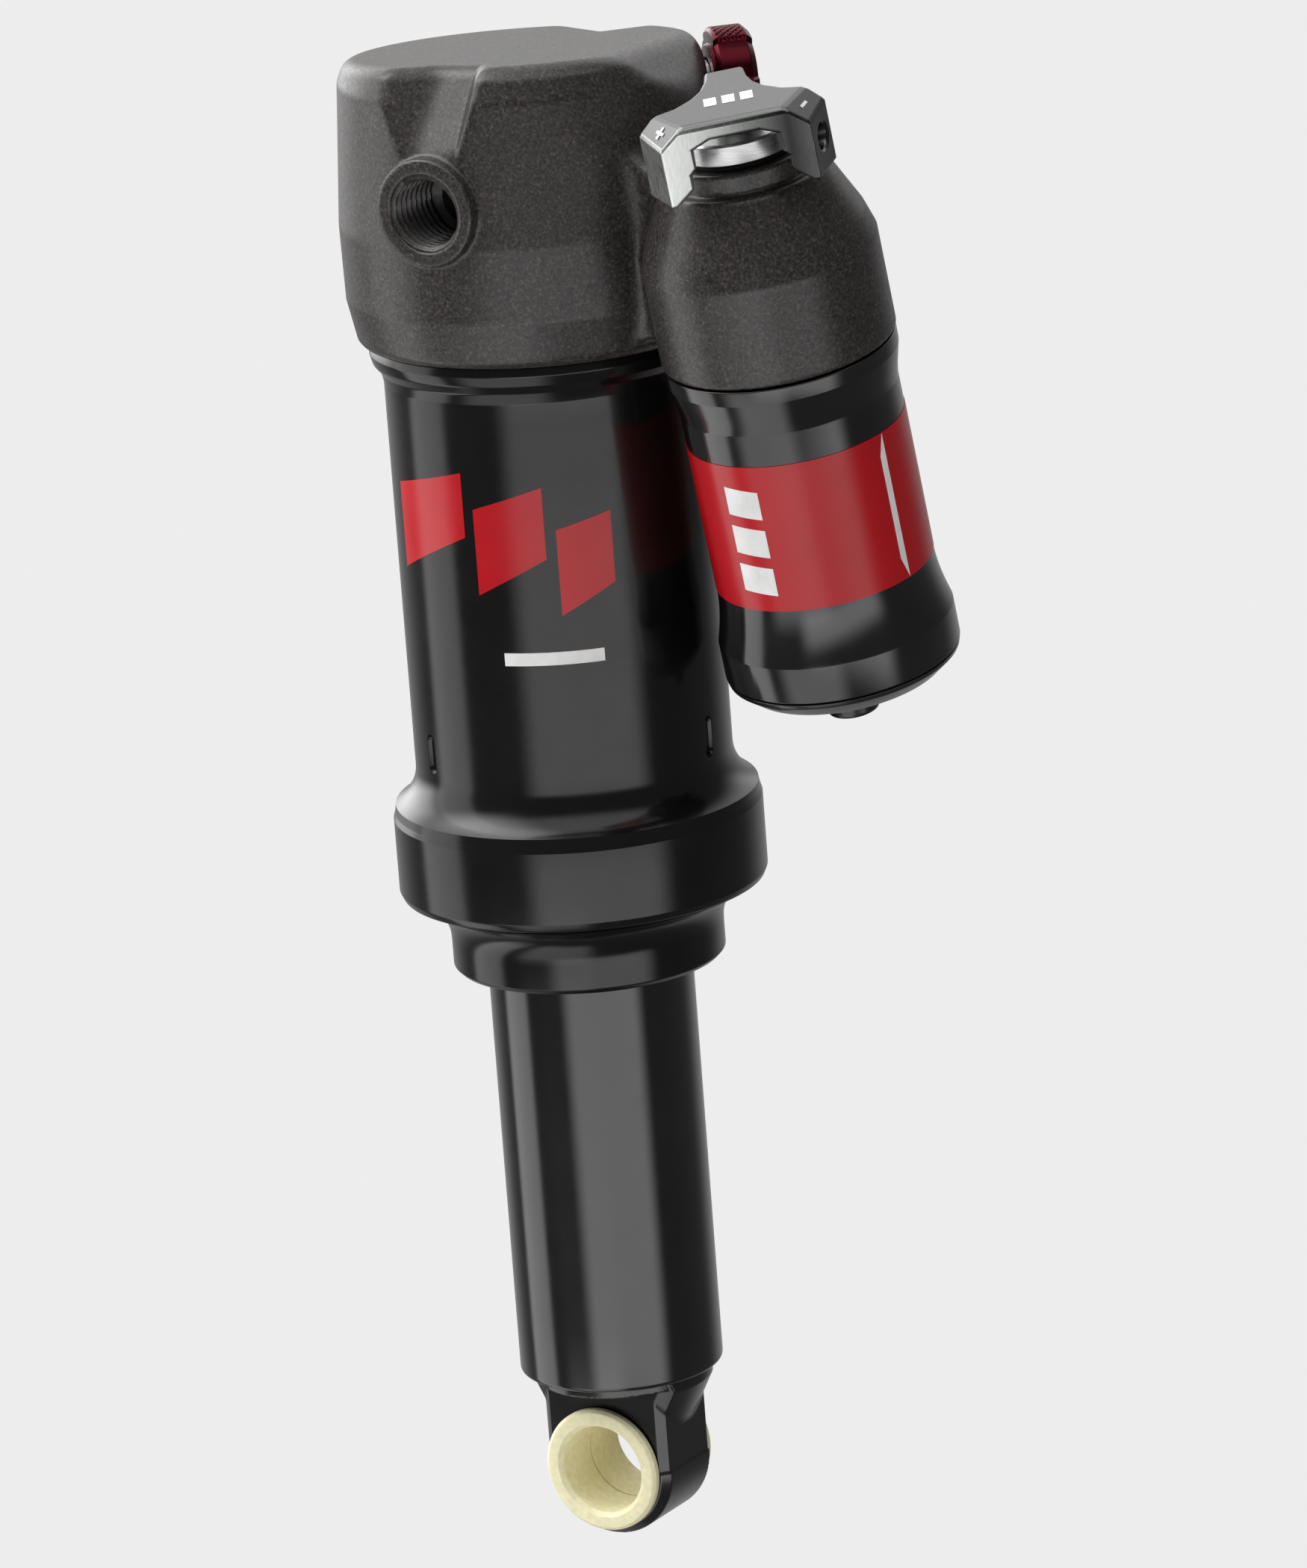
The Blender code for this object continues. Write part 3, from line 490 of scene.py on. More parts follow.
def core_field(x, y, z):
    """The round block with its sloped top, lever facet, trunnion pockets and bosses."""
    core = meet(np.hypot(x, y) - graph(z, HEAD_SKIN), HEAD_FOOT - z, 0.8)
    core = meet(core, plane(x, y, z, LEVER_FACET), 1.4)
    near = -np.abs(y)
    left, floor, right = (plane(x, near, z, side) for side in (POCKET_LEFT, POCKET_FLOOR, POCKET_RIGHT))
    pocket = np.minimum(join(left, floor + FAR_POCKET_DEEPER * (y > 0), 0.8), right)
    core = meet(core, pocket, 0.9)
    core = meet(core, (z - TOP_HEIGHT - TOP_RISE_X * x - TOP_RISE_Y * y), 1.8)
    boss = meet(np.hypot(x, z) - BOSS_RADIUS, np.abs(y) - BOSS_FACE, 0.4)
    return join(core, boss, 0.35)


def web_field(x, y, z):
    """The block from the head to the dome, which drops, narrows and drifts towards -Y on its way."""
    run = (x - WEB_START) / (WEB_END - WEB_START)
    walls = np.abs(y + 4 * run) - (10 - run)
    ends = np.maximum(WEB_START - x, x - WEB_END)
    return meet(meet(walls, z - 9 + 8.5 * run, 2.5), np.maximum(-21.2 + 3.7 * run - z, ends), 1.0)


def dome_field(rho, w):
    """The cap over the reservoir, and the recessed neck that the lever turns on."""
    dome = meet(DOME_SLOPE * (rho - graph(w, DOME_SKIN)), w - DOME_TOP, 0.7)
    dome = meet(dome, DOME_FOOT - w, 0.5)
    neck = np.maximum(meet(rho - NECK_RADIUS, w - NECK_TOP, 0.4), -w)
    neck = np.maximum(neck, np.minimum(RECESS_RADIUS - rho, w - RECESS_FLOOR))
    return join(dome, neck, 0.6)


def head_field(x, y, z):
    """The whole casting, with its bores and holes cut."""
    u, v, w = local(RESERVOIR, x, y, z)
    rho = np.hypot(u, v)
    body = join(join(core_field(x, y, z), web_field(x, y, z), 2.0), dome_field(rho, w), 1.2)
    body = meet(body, graph(z, MAIN_BORE) - np.hypot(x, y), 0.2)
    body = np.maximum(body, graph(w, DOME_BORE) - rho)
    hole = drilled(x, z, np.abs(y), 5.35, 16.0)
    knob, valve = local(KNOB, x, y, z), local(VALVE, x, y, z)
    for place, radius, floor in ((knob, 2.6, -2.5), (knob, 4.3, 22.5), (valve, 3.9, 19.5)):
        hole = np.minimum(hole, drilled(*place, radius, floor))
    return meet(body, -hole, 0.25)


dress(surface("head", head_field, (-28, -28.4, -25.6), (58.4, 28.4, 22.8), 0.4), "head", CAST, "cast_grey",
      "head_casting")


def thread(name, place, sides=72, per_turn=10):
    """The threaded wall of a trunnion hole, with a drill point at its bottom."""
    angles = np.arange(sides) * 2 * math.pi / sides
    bottom = THREAD_FACE - THREAD_DEPTH
    rings = [(THREAD_SHELL, bottom - 1.0), (THREAD_SHELL, THREAD_FACE)]
    for k in range(int(THREAD_DEPTH / THREAD_PITCH * per_turn) + 1):
        height = THREAD_FACE - k * THREAD_PITCH / per_turn
        phase = (height / THREAD_PITCH + angles / (2 * math.pi)) % 1
        ridge = np.clip(np.abs(phase - 0.5) * 4 - 0.35, 0, 1)
        rings.append((THREAD_CORE + THREAD_HEIGHT * ridge, height))
    rings += [(4.7, bottom - 0.2), (1e-4, bottom - 2.6), (1e-4, bottom - 3.2), (THREAD_SHELL, bottom - 3.2)]
    points = np.concatenate([
        np.stack([r * np.cos(angles), r * np.sin(angles), np.full(sides, z)], 1) for r, z in rings])
    return mesh_object(name, points, ring_faces(len(rings), sides), place, 50, 0.001)


dress(thread("near_thread", NEAR_TRUNNION), "head", CAST, "cast_grey")
dress(thread("far_thread", FAR_TRUNNION), "head", CAST, "cast_grey")


# ---- Air can and wiper housing -------------------------------------------------------------------
CAN_RADIUS = 22.0


def cut(obj, *cutters):
    """Takes the cutters out of an object and keeps only the result."""
    for cutter in cutters:
        step = obj.modifiers.new("cut", 'BOOLEAN')
        step.object, step.solver, step.operation = cutter, 'EXACT', 'DIFFERENCE'
    bpy.context.view_layer.update()
    made = bpy.data.meshes.new_from_object(obj.evaluated_get(bpy.context.evaluated_depsgraph_get()))
    obj.modifiers.clear()
    obj.data = made
    for cutter in cutters:
        bpy.data.objects.remove(cutter)
    made.polygons.foreach_set("use_smooth", np.ones(len(made.polygons), bool))
    made.set_sharp_from_angle(angle=math.radians(35))
    return obj


def pill(name, angle, middle, half_tall, half_wide, near, far, steps=12):
    """A pill-shaped plug pointing out from the main axis, flared outwards."""
    ring = []
    for sign, start in ((1, 0), (-1, math.pi)):
        for k in range(steps + 1):
            a = start + math.pi * k / steps
            ring.append((half_wide * math.cos(a), sign * (half_tall - half_wide) + half_wide * math.sin(a)))
    count = len(ring)
    points = []
    for reach, grow in ((near, 0.72), (near + 0.35, 0.97), (far, 1.15)):
        points += [(reach, u * grow, middle + v * (1 - (1 - grow) * half_wide / half_tall)) for u, v in ring]
    obj_place = Matrix.Rotation(math.radians(angle), 4, 'Z')
    mesh = bpy.data.meshes.new(name)
    work = bmesh.new()
    verts = [work.verts.new(obj_place @ (Vector(p) * MM)) for p in points]
    for level in (0, 1):
        for k in range(count):
            j = (k + 1) % count
            work.faces.new([verts[level * count + k], verts[level * count + j],
                            verts[(level + 1) * count + j], verts[(level + 1) * count + k]])
    work.faces.new(verts[:count][::-1])
    work.faces.new(verts[2 * count:])
    bmesh.ops.recalc_face_normals(work, faces=work.faces)
    work.to_mesh(mesh)
    work.free()
    obj = bpy.data.objects.new(name, mesh)
    bpy.context.scene.collection.objects.link(obj)
    return obj


def sweep(centre, radius, start, end, count=10):
    """Points on a circle with no fillet of their own, angles in degrees."""
    angles = np.radians(np.linspace(start, end, count))
    return [(centre[0] + radius * math.cos(a), centre[1] + radius * math.sin(a), 0) for a in angles]


can = lathe("can", [
    (20.7, -12.3), (21.0, -12.7), (21.0, -22.05), (23.45, -22.05, 0.3), (23.72, -23.2, 0.6),
    (23.35, -24.6, 0.9), (22.3, -25.9, 1.0), (CAN_RADIUS, -27.4, 1.2),
    *[(CAN_RADIUS, z, 0) for z in range(-30, -82, -2)],
    *sweep((28.4, -81.9), 6.4, 180, 240, 14), (25.4, -88.6, 0.25), (25.65, -89.4, 0.25), (25.65, -99.6, 0.6),
    (25.2, -100.6, 0.5), (24.3, -101.0), (23.2, -101.0), (23.2, -90.5), (19.4, -89.0), (19.4, -26.5),
    (18.4, -25.0), (18.4, -12.3)], radius=0.2)
cut(can, *[pill(f"grip_{k}", 120 * k, middle=-78.2, half_tall=2.9, half_wide=1.05, near=21.45, far=23.0)
           for k in range(3)])
dress(can, "head", CAN, "black_anodised", "air_can")

dress(lathe("housing", [
    (22.9, -95.6), (22.9, -101.3), (23.9, -101.3, 0.3), *sweep((24.9, -107.0), 5.9, 118, 176, 12),
    (18.98, -107.5, 0.4), (18.98, -110.9, 0.35), (18.3, -111.6, 0.3), (14.95, -111.6, 0.3), (14.69, -110.9),
    (16.6, -110.9), (16.6, -108.4), (14.69, -108.4), (14.69, -107.6), (15.9, -107.6), (15.9, -101.6),
    (14.69, -101.6), (14.69, -100.8), (16.6, -100.8), (16.6, -98.0), (14.69, -98.0), (14.69, -95.6)],
    radius=0.12), "head", CAN, "black_anodised", "wiper_housing")
dress(lathe("wiper", [
    (16.3, -108.8), (16.3, -110.5), (15.0, -111.3, 0.2), (14.42, -111.1, 0.1), (14.62, -110.0),
    (14.62, -108.8)], radius=0.1), "head", RUBBER, "nitrile", "wiper_seal")


# ---- Damper body ---------------------------------------------------------------------------------
TUBE_RADIUS = 14.2875
LUG_RADIUS, LUG_HALF_WIDTH, LUG_HALF_DEPTH, LUG_HOLE = 10.1, 9.85, 6.35, 8.0
FOOT_RADIUS, FOOT_TOP = 12.8, -171.5
CONE_OUT, CONE_DOWN, CONE_TOP, CONE_FOOT = 0.8975, 0.4411, -173.0, -178.9
PLUG_RADIUS, PLUG_TOP, PLUG_FOOT = 12.4, -168.7, -172.6
GROOVE_MIDDLE, GROOVE_HALF, GROOVE_RADIUS = -169.5, 0.6, 11.6

dress(lathe("tube", [
    (13.9, -91.9), (TUBE_RADIUS, -92.5), *[(TUBE_RADIUS, z, 0) for z in range(-96, -168, -6)],
    (TUBE_RADIUS, -171.15, 1.5), (12.75, -171.15), (12.75, -91.9)], radius=0.15),
    "damper_body", TUBE, "black_anodised", "body_tube")


def eyelet_field(x, y, z):
    """The lug with its coned shoulder, under a grooved plug that goes up into the tube."""
    turn = np.hypot(x, y)
    below = z + EYE_TO_EYE
    lug = np.where(below < 0, np.hypot(x, below) - LUG_RADIUS, np.abs(x) - LUG_HALF_WIDTH)
    cone = np.maximum(CONE_OUT * (turn - FOOT_RADIUS) - CONE_DOWN * (z - CONE_TOP), CONE_FOOT - z)
    lug = bevel(join(lug, cone, 0.3), np.abs(y) - LUG_HALF_DEPTH, 1.1)
    lug = np.maximum(np.maximum(lug, turn - FOOT_RADIUS), z - FOOT_TOP)
    plug = np.maximum(meet(turn - PLUG_RADIUS, z - PLUG_TOP, 0.5), PLUG_FOOT - z)
    groove = np.maximum(np.abs(z - GROOVE_MIDDLE) - GROOVE_HALF, GROOVE_RADIUS - turn)
    body = np.minimum(lug, np.maximum(plug, -groove))
    return bevel(body, LUG_HOLE - np.hypot(x, below), 0.4)


dress(surface("eye", eyelet_field, (-13.6, -13.6, -195.9), (13.6, 13.6, -167.7), 0.2), "damper_body", EYELET,
      "black_anodised", "eyelet")
for name, place, node in (("bush_near", NEAR_EYE, "near_bush"), ("bush_far", FAR_EYE, "far_bush")):
    dress(lathe(name, [
        (6.95, 7.95, 0.12), (8.5, 7.95, 0.35), (8.95, 7.5, 0.25), (8.95, 6.65), (7.7, 6.65), (7.7, 0.12),
        (6.35, 0.12, 0.1), (6.35, 7.3, 0.15)], place, 0.15), "damper_body", CREAM, "cream_polymer", node)


# ---- Reservoir -----------------------------------------------------------------------------------
dress(lathe("reservoir", [
    (13.3, -12.9), (13.3, -23.6), (15.9, -23.6, 0.2), (15.9, -25.7, 0.4), (15.2, -28.8, 0.8),
    (14.95, -30.4, 1.5), (14.95, -44, 0),
    *[(14.95 + 1.2 * t * t, -55.5 - 8.3 * t, 0) for t in np.linspace(0, 1, 15)],
    (16.25, -64.2, 0.25), (16.25, -69.4, 0.2), (13.7, -69.4), (13.7, -64.0), (12.4, -63.0),
    (12.4, -12.9)], RESERVOIR, 0.15), "head", RESERVOIR_BLACK, "black_anodised", "reservoir_tube")
dress(lathe("cap", [
    (13.3, -64.6), (13.3, -69.65), (16.15, -69.65, 0.1), (15.95, -70.3, 0.5), (13.6, -72.25, 0.9),
    (12.4, -72.75, 0.8), (4.0, -72.75, 0.3), (4.0, -70.8), (1.2, -70.0), (1.2, -66.6),
    (9.0, -66.6), (9.0, -64.6)], RESERVOIR, 0.15), "head", CAP_BLACK, "black_anodised", "reservoir_cap")
dress(lathe("plug", [
    (0, -71.3), (3.6, -71.3), (3.6, -77.85, 0.6), (1.6, -77.85), (1.6, -76.5), (0, -76.5)],
    RESERVOIR, 0.15), "head", CAP_BLACK, "black_anodised", "gas_fill_plug")


def wrap(name, radius, outline, place, thickness=0.04):
    """A thin sheet laid on a round wall. outline lists (heading in degrees, low height, high height)."""
    headings = [row[0] for row in outline]
    steps = max(2, int((headings[-1] - headings[0]) / 1.5))
    angles = np.linspace(headings[0], headings[-1], steps + 1)
    low = np.interp(angles, headings, [row[1] for row in outline])
    high = np.interp(angles, headings, [row[2] for row in outline])
    turn = np.radians(angles)
    points = np.concatenate([
        np.stack([r * np.cos(turn), r * np.sin(turn), h], 1)
        for r, h in ((radius, low), (radius, high), (radius + thickness, high), (radius + thickness, low))])
    count = steps + 1
    along = np.arange(steps)
    faces = [np.stack([a * count + along, a * count + along + 1, b * count + along + 1, b * count + along], 1)
             for a, b in ((0, 1), (1, 2), (2, 3), (3, 0))]
    end = np.array([[0, count, 2 * count, 3 * count]])
    faces += [end, end[:, ::-1] + steps]
    return mesh_object(name, points, np.concatenate(faces), place, 40, MERGE)


BAND_MARKS_RADIUS, CAN_MARKS_RADIUS = 15.06, 22.02
CAN_STRIPES = (             # two headings, each with the stripe's low and high height there
    ((-128, -52, -40), (-92, -46, -37)),
    ((-88, -54, -42), (-62, -49, -39)),
    ((-58, -57, -45), (-38, -53, -43)),
)
dress(lathe("band", [(14.97, -34.9), (15.05, -34.9), (15.05, -56.1), (14.97, -56.1)], RESERVOIR, 0),
      "head", VINYL_RED)
for k in range(3):
    top = -38.0 - 5.6 * k
    bar = [(-104, top - 4.0, top), (-84, top - 4.6, top - 0.6)]
    dress(wrap(f"band_bar_{k}", BAND_MARKS_RADIUS, bar, RESERVOIR), "head", VINYL_WHITE)
dress(wrap("band_stripe", BAND_MARKS_RADIUS, [(-14, -53, -38), (-10, -56, -35)], RESERVOIR), "head",
      VINYL_WHITE)
for k, stripe in enumerate(CAN_STRIPES):
    dress(wrap(f"can_stripe_{k}", CAN_MARKS_RADIUS, stripe, MAIN), "head", VINYL_RED)
dress(wrap("can_line", CAN_MARKS_RADIUS, [(-80, -63.8, -62.0), (-44, -63.8, -62.0)], MAIN), "head",
      VINYL_WHITE)


# ---- Compression lever ---------------------------------------------------------------------------
LEVER_HALF = [(14.4, 10.0), (7.9, 12.5), (7.4, 10.0), (6.2, 7.4), (3.9, 5.2), (1.2, 3.7), (-2.0, 2.9),
              (-5.3, 2.6)]
LEVER_EDGE = [(u, -v) for u, v in LEVER_HALF] + [(u, v) for u, v in reversed(LEVER_HALF)]
LEVER_TOP, LEVER_FOOT, LEVER_HOLE = 14.4, 3.5, 2.6
CORNER_NORMAL, CORNER_REACH = (0.306, 0.601, 0.739), 19.07
FRONT_FACET = ((0.7071, 0, 0.7071), 19.94)


def lever_field(u, v, w):
    """A faceted wedge, hollow under its top, whose two legs straddle the disc."""
    across = np.abs(v)
    turn = np.hypot(u, v)
    body = bevel(polygon(u, v, LEVER_EDGE), w - LEVER_TOP, 0.35)
    body = bevel(body, plane(u, across, w, (CORNER_NORMAL, CORNER_REACH)), 0.25)
    body = bevel(body, plane(u, v, w, FRONT_FACET), 0.2)
    body = bevel(body, LEVER_FOOT - w, 0.3)
    under = np.maximum(u - 7.0, w - 12.0)
    leg_gap = np.maximum(across - np.interp(w, (7.6, 8.4), (6.6, 5.8)),
                         w - 11.9 + 0.42 * np.maximum(across - 3.4, 0))
    diagonal = 0.785 * (w - 6.9) + 0.62 * (across - 5.0)
    body = bevel(body, -under, 0.25)
    body = bevel(body, -leg_gap, 0.35)
    body = bevel(body, -diagonal, 0.25)
    body = np.minimum(body, np.maximum(turn - 3.9, np.abs(w - 10.7) - 1.7))
    body = np.maximum(body, np.minimum(LEVER_HOLE - turn, 12.6 - w))
    side_hole = np.maximum(np.hypot(u - 10.9, w - 8.2) - 1.75, 8.2 - v)
    return bevel(body, -side_hole, 0.3)


dress(surface("lever", lever_field, (-6.4, -13.2, 2.5), (15.6, 13.2, 15.4), 0.14, LEVER),
      "compression_lever", SILVER, "satin_aluminium", "compression_lever")
dress(lathe("disc", [
    (LEVER_HOLE, 8.6), (8.0, 8.6, 0.3), (8.3, 8.3, 0.2), (8.3, 5.7, 0.2), (8.0, 5.4, 0.2),
    (LEVER_HOLE, 5.4)], LEVER, 0.12), "compression_lever", DISC_SILVER, "satin_aluminium", "lever_disc")
dress(lathe("washer", [(LEVER_HOLE, 5.1), (7.4, 5.1), (7.4, 3.9), (LEVER_HOLE, 3.9)], LEVER, 0.15),
      "compression_lever", RUBBER, "nitrile", "spindle_washer")


def flat_mark(name, strokes, place, body, look, thick=0.04):
    """Raised flat strokes, each (u, v) corners of a box on the plane w = 0 of the placement."""
    points, faces = [], []
    for (u0, v0), (u1, v1) in strokes:
        base = len(points)
        points += [(u, v, w) for w in (-0.05, thick) for u, v in ((u0, v0), (u1, v0), (u1, v1), (u0, v1))]
        faces += [[base + i for i in face] for face in (
            (3, 2, 1, 0), (4, 5, 6, 7), (0, 1, 5, 4), (1, 2, 6, 5), (2, 3, 7, 6), (3, 0, 4, 7))]
    return dress(mesh_object(name, points, np.array(faces), place, 30), body, look)


def on_corner(side):
    """The middle of the lever's corner facet, with its Z out of the metal."""
    along, outward, upward = CORNER_NORMAL
    at = LEVER @ Vector((11.55, side * 9.65, 13.3))
    out = LEVER.to_3x3() @ Vector((along, side * outward, upward))
    return basis(at, out, LEVER.to_3x3() @ Vector((0.9, -side * 0.4, 0)))


top_of_lever = basis(LEVER @ Vector((6.6, 0, LEVER_TOP)), RESERVOIR_UP, LEVER.to_3x3() @ Vector((0, 1, 0)))
flat_mark("minus", [((-0.9, -0.22), (0.9, 0.22))], on_corner(1), "compression_lever", VINYL_WHITE)
flat_mark("plus", [
    ((-0.9, -0.22), (0.9, 0.22)), ((-0.22, 0.22), (0.22, 0.9)), ((-0.22, -0.9), (0.22, -0.22))],
    on_corner(-1), "compression_lever", VINYL_WHITE)
flat_mark("lever_bars", [
    ((-3.3, -1.5), (-1.6, 1.5)), ((-0.85, -1.5), (0.85, 1.5)), ((1.6, -1.5), (3.3, 1.5))],
    top_of_lever, "compression_lever", VINYL_WHITE)


# ---- Rebound knob --------------------------------------------------------------------------------
KNOB_RADIUS, KNOB_FOOT, KNOB_TOP = 6.7, 26.3, 31.8
PAD_COUNT, PAD_HEIGHT, PAD_MIDDLE = 3, 0.75, 28.7
KNURL_PITCH, KNURL_DEPTH = 1.1, 0.28


def knob_field(a, b, c):
    """A drum with three knurled pads, a neck under it and a hole for the spindle."""
    turn = np.hypot(a, b)
    angle = np.arctan2(b, a)
    pads = np.clip((np.cos(PAD_COUNT * angle) + 0.15) * 6, 0, 1)
    around, along = angle * KNOB_RADIUS / KNURL_PITCH, c / KNURL_PITCH
    weave = np.maximum(np.abs((around + along) % 1 - 0.5), np.abs((around - along) % 1 - 0.5))
    groove = np.clip((weave - 0.36) / 0.14, 0, 1) * np.clip((2.1 - np.abs(c - PAD_MIDDLE)) * 3, 0, 1)
    wall = KNOB_RADIUS - (1 - pads) * PAD_HEIGHT - KNURL_DEPTH * groove * pads
    body = bevel(bevel(turn - wall, c - KNOB_TOP, 0.9), KNOB_FOOT - c, 0.5)
    neck = np.maximum(turn - 4.4, np.abs(c - 26.9) - 1.0)
    return np.maximum(np.minimum(body, neck), 2.6 - turn)


dress(surface("knob", knob_field, (-7.4, -7.4, 25.4), (7.4, 7.4, 32.4), 0.12, KNOB), "rebound_knob",
      RED_METAL, "red_anodised", "rebound_knob")
dress(lathe("knob_screw", [
    (0, 31.0), (1.3, 31.0), (1.5, 31.8), (2.1, 31.8, 0.1), (2.3, 31.6), (2.3, 2.9), (1.0, 1.4),
    (1.0, -1.3), (0, -1.3)], KNOB, 0.08, 48), "rebound_knob", STEEL, "steel", "rebound_spindle")


# ---- Air valve -----------------------------------------------------------------------------------
CAP_RADIUS, CAP_FOOT, CAP_TOP, CAP_MIDDLE = 3.95, 28.3, 35.8, 31.8
RIB_COUNT, RIB_HEIGHT = 24, 0.16


def cap_field(a, b, c):
    """A ribbed cap that is hollow from below."""
    turn = np.hypot(a, b)
    fade = np.clip((3.2 - np.abs(c - CAP_MIDDLE)) * 2, 0, 1)
    ribs = RIB_HEIGHT * np.cos(RIB_COUNT * np.arctan2(b, a)) * fade
    body = bevel(turn - CAP_RADIUS - ribs, c - CAP_TOP, 0.5)
    body = bevel(body, CAP_FOOT - c, 0.25)
    return np.maximum(body, -np.maximum(turn - 2.9, c - 34.2))


dress(surface("valve_cover", cap_field, (-4.6, -4.6, 27.8), (4.6, 4.6, 36.4), 0.12, VALVE), "valve_cap", GREY,
      "grey_plastic", "valve_cap")
dress(lathe("stem", [
    (2.6, 33.6), (2.6, 28.0), (4.6, 27.5), (4.6, 26.8), (3.6, 26.8), (3.6, 20.3), (1.2, 19.6),
    (1.2, 20.8), (1.7, 21.4), (1.7, 33.6)], VALVE, 0.12, 64), "head", BRASS, "brass", "valve_stem")

# ---- The CAD pieces that are shown as they are ---------------------------------------------------
KEPT = {
    STEEL: ("rebound_shims", "compression_shims", "piston_nut", "rebound_rod", "base_valve_shims",
            "base_valve_bolt", "base_valve_nut", "lever_spindle", "valve_pin"),
    CHROME: ("damper_shaft",),
    DISC_SILVER: ("main_piston", "air_piston", "floating_piston", "base_valve"),
    BRASS: ("compression_needle", "valve_core"),
    BRONZE: ("guide_bush", "piston_band", "shaft_bush"),
    RUBBER: ("can_seal", "housing_seal", "air_piston_seal", "shaft_seal", "tube_seal", "eyelet_seal",
             "floating_piston_seal", "rebound_spindle_seal"),
    URETHANE: ("negative_bumper", "bottom_out_bumper", "top_out_bumper"),
    WHITE: ("air_piston_band",),
    GREY: ("volume_spacer",),
}
for look, names in KEPT.items():
    for name in names:
        node = frame["nodes"][name]
        node.data.materials.clear()
        node.data.materials.append(look.material)

# ---- Floor, light and camera ---------------------------------------------------------------------
PALE, FLOOR_GLOW = 0.831, 0.985
FLOOR_HALF, FLOOR_HEIGHT = 1500, -232
AZIMUTH, ELEVATION, ROLL = math.radians(31.93), math.radians(15.34), math.radians(-4.36)
DISTANCE, AIM_ACROSS, AIM_HEIGHT = 1.3, 0.0106, -0.08755        # metres
SENSOR, LENS = 36, 215.3142857                                  # millimetres

floor = mesh_object("floor", [
    (-FLOOR_HALF, -FLOOR_HALF, FLOOR_HEIGHT), (FLOOR_HALF, -FLOOR_HALF, FLOOR_HEIGHT),
    (FLOOR_HALF, FLOOR_HALF, FLOOR_HEIGHT), (-FLOOR_HALF, FLOOR_HALF, FLOOR_HEIGHT)],
    np.array([[0, 1, 2, 3]]))
floor_look = Look("floor_pale", (0.02, 0.02, 0.02), 1.0, 0.0, Specular_IOR_Level=0.0)
floor_look.set(floor_look.shader, "Emission Color", (PALE, PALE, PALE, 1))
floor_look.set(floor_look.shader, "Emission Strength", FLOOR_GLOW)
floor.data.materials.append(floor_look.material)
floor.visible_diffuse = False
floor.visible_glossy = False
floor.visible_shadow = False

# Soft boxes as (centre, half width, edge, lowest, highest, lift, strength), with angles in degrees. The
# centre counts from the camera's side to its right. Edge and lift are half the width of the soft borders.
BOXES = (
    (10, 42, 9, -28, -10, 6, 2.5),
    (-32, 32, 10, -66, -24, 8, 1.7),
    (-98, 17, 4, -60, 60, 10, 2.0),
    (-142, 24, 12, -6, 28, 8, 3.4),
    (-96, 36, 24, 34, 80, 14, 6.0),
    (10, 70, 20, 42, 85, 10, 1.6),
)
AMBIENT, BEHIND_LOW, BEHIND_HIGH, OVERHEAD = 0.16, 0.28, 1.0, 0.22
BEHIND_FROM, BEHIND_FULL, BEHIND_RISE = 118, 150, 14        # degrees from the camera's side, and up
OVERHEAD_FROM, OVERHEAD_FULL = 45, 75                       # degrees up


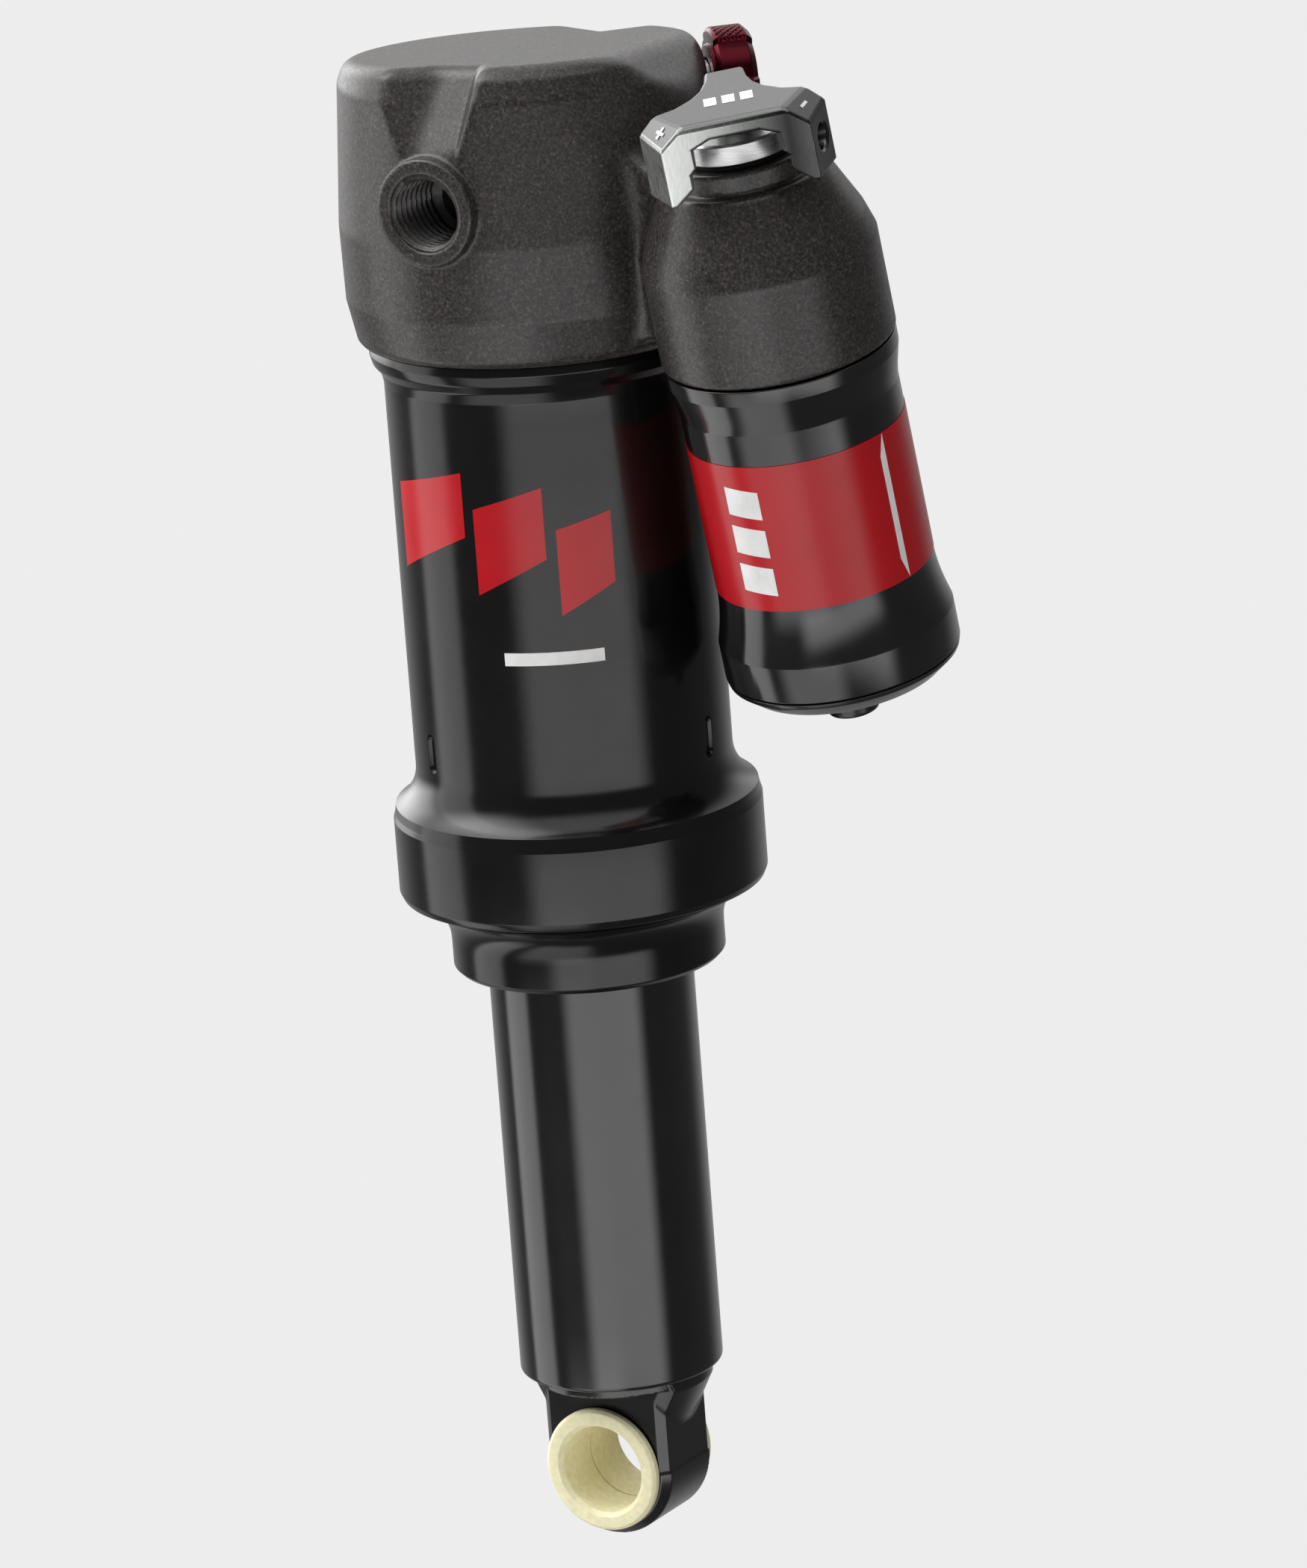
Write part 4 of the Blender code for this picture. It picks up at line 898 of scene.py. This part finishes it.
def studio():
    """A pale surround for the camera and, for the light on the shock, a dim room with soft boxes."""
    world = bpy.data.worlds.new("studio")
    bpy.context.scene.world = world
    world.use_nodes = True
    nodes, links = world.node_tree.nodes, world.node_tree.links
    nodes.clear()

    def math_node(kind, a, b=None):
        """One step of arithmetic on sockets or numbers."""
        node = nodes.new("ShaderNodeMath")
        node.operation = kind
        for socket, value in zip(node.inputs, (a, b)):
            if isinstance(value, (int, float)):
                socket.default_value = value
            elif value is not None:
                links.new(value, socket)
        return node.outputs[0]

    def soft(source, start, end):
        """A smooth rise from 0 at start to 1 at end."""
        node = nodes.new("ShaderNodeMapRange")
        node.interpolation_type = 'SMOOTHSTEP'
        for socket, value in (("From Min", start), ("From Max", end), ("To Min", 0.0), ("To Max", 1.0)):
            node.inputs[socket].default_value = value
        links.new(source, node.inputs["Value"])
        return node.outputs["Result"]

    where = nodes.new("ShaderNodeTexCoord").outputs["Generated"]
    turn = nodes.new("ShaderNodeMapping")
    turn.vector_type = 'POINT'
    turn.inputs["Rotation"].default_value = (0, 0, math.pi / 2 - AZIMUTH)
    links.new(where, turn.inputs["Vector"])
    split = nodes.new("ShaderNodeSeparateXYZ")
    links.new(turn.outputs["Vector"], split.inputs[0])
    around = math_node('ARCTAN2', split.outputs["Y"], split.outputs["X"])
    rise = math_node('ARCSINE', split.outputs["Z"])

    def box(centre, half, edge, low, high, lift, strength):
        """The strength of one soft box in each direction."""
        away = math_node('ABSOLUTE', math_node('SUBTRACT', around, math.radians(centre)))
        wide = soft(away, math.radians(half + edge), math.radians(half - edge))
        tall = math_node('MULTIPLY', soft(rise, math.radians(low - lift), math.radians(low + lift)),
                         soft(rise, math.radians(high + lift), math.radians(high - lift)))
        return math_node('MULTIPLY', math_node('MULTIPLY', wide, tall), strength)

    total = math_node('ADD', AMBIENT, 0.0)
    for light in BOXES:
        total = math_node('ADD', total, box(*light))
    behind = soft(math_node('ABSOLUTE', around), math.radians(BEHIND_FROM), math.radians(BEHIND_FULL))
    higher = math_node('MULTIPLY', soft(rise, 0.0, math.radians(BEHIND_RISE)), BEHIND_HIGH)
    total = math_node('ADD', total, math_node('MULTIPLY', behind, math_node('ADD', higher, BEHIND_LOW)))
    overhead = soft(rise, math.radians(OVERHEAD_FROM), math.radians(OVERHEAD_FULL))
    total = math_node('ADD', total, math_node('MULTIPLY', overhead, OVERHEAD))
    lit = nodes.new("ShaderNodeBackground")
    links.new(total, lit.inputs["Strength"])
    seen = nodes.new("ShaderNodeBackground")
    seen.inputs["Color"].default_value = (PALE, PALE, PALE, 1)
    blend = nodes.new("ShaderNodeMixShader")
    links.new(nodes.new("ShaderNodeLightPath").outputs["Is Camera Ray"], blend.inputs[0])
    links.new(lit.outputs[0], blend.inputs[1])
    links.new(seen.outputs[0], blend.inputs[2])
    out = nodes.new("ShaderNodeOutputWorld")
    links.new(blend.outputs[0], out.inputs["Surface"])


studio()
bpy.context.scene.view_settings.view_transform = 'Standard'


def place_camera():
    """Aims the camera from its azimuth and elevation, with a little roll."""
    back = Vector((math.sin(AZIMUTH) * math.cos(ELEVATION), -math.cos(AZIMUTH) * math.cos(ELEVATION),
                   math.sin(ELEVATION)))
    right = Vector((math.cos(AZIMUTH), math.sin(AZIMUTH), 0))
    up = back.cross(right)
    across = right * math.cos(ROLL) + up * math.sin(ROLL)
    above = up * math.cos(ROLL) - right * math.sin(ROLL)
    data = bpy.data.cameras.new("camera")
    data.sensor_width, data.lens = SENSOR, LENS
    data.clip_start, data.clip_end = 0.05, 20
    camera = bpy.data.objects.new("camera", data)
    at = right * AIM_ACROSS + Vector((0, 0, AIM_HEIGHT)) + back * DISTANCE
    camera.matrix_world = Matrix.Translation(at) @ Matrix((across, above, back)).transposed().to_4x4()
    bpy.context.scene.collection.objects.link(camera)
    bpy.context.scene.camera = camera


place_camera()
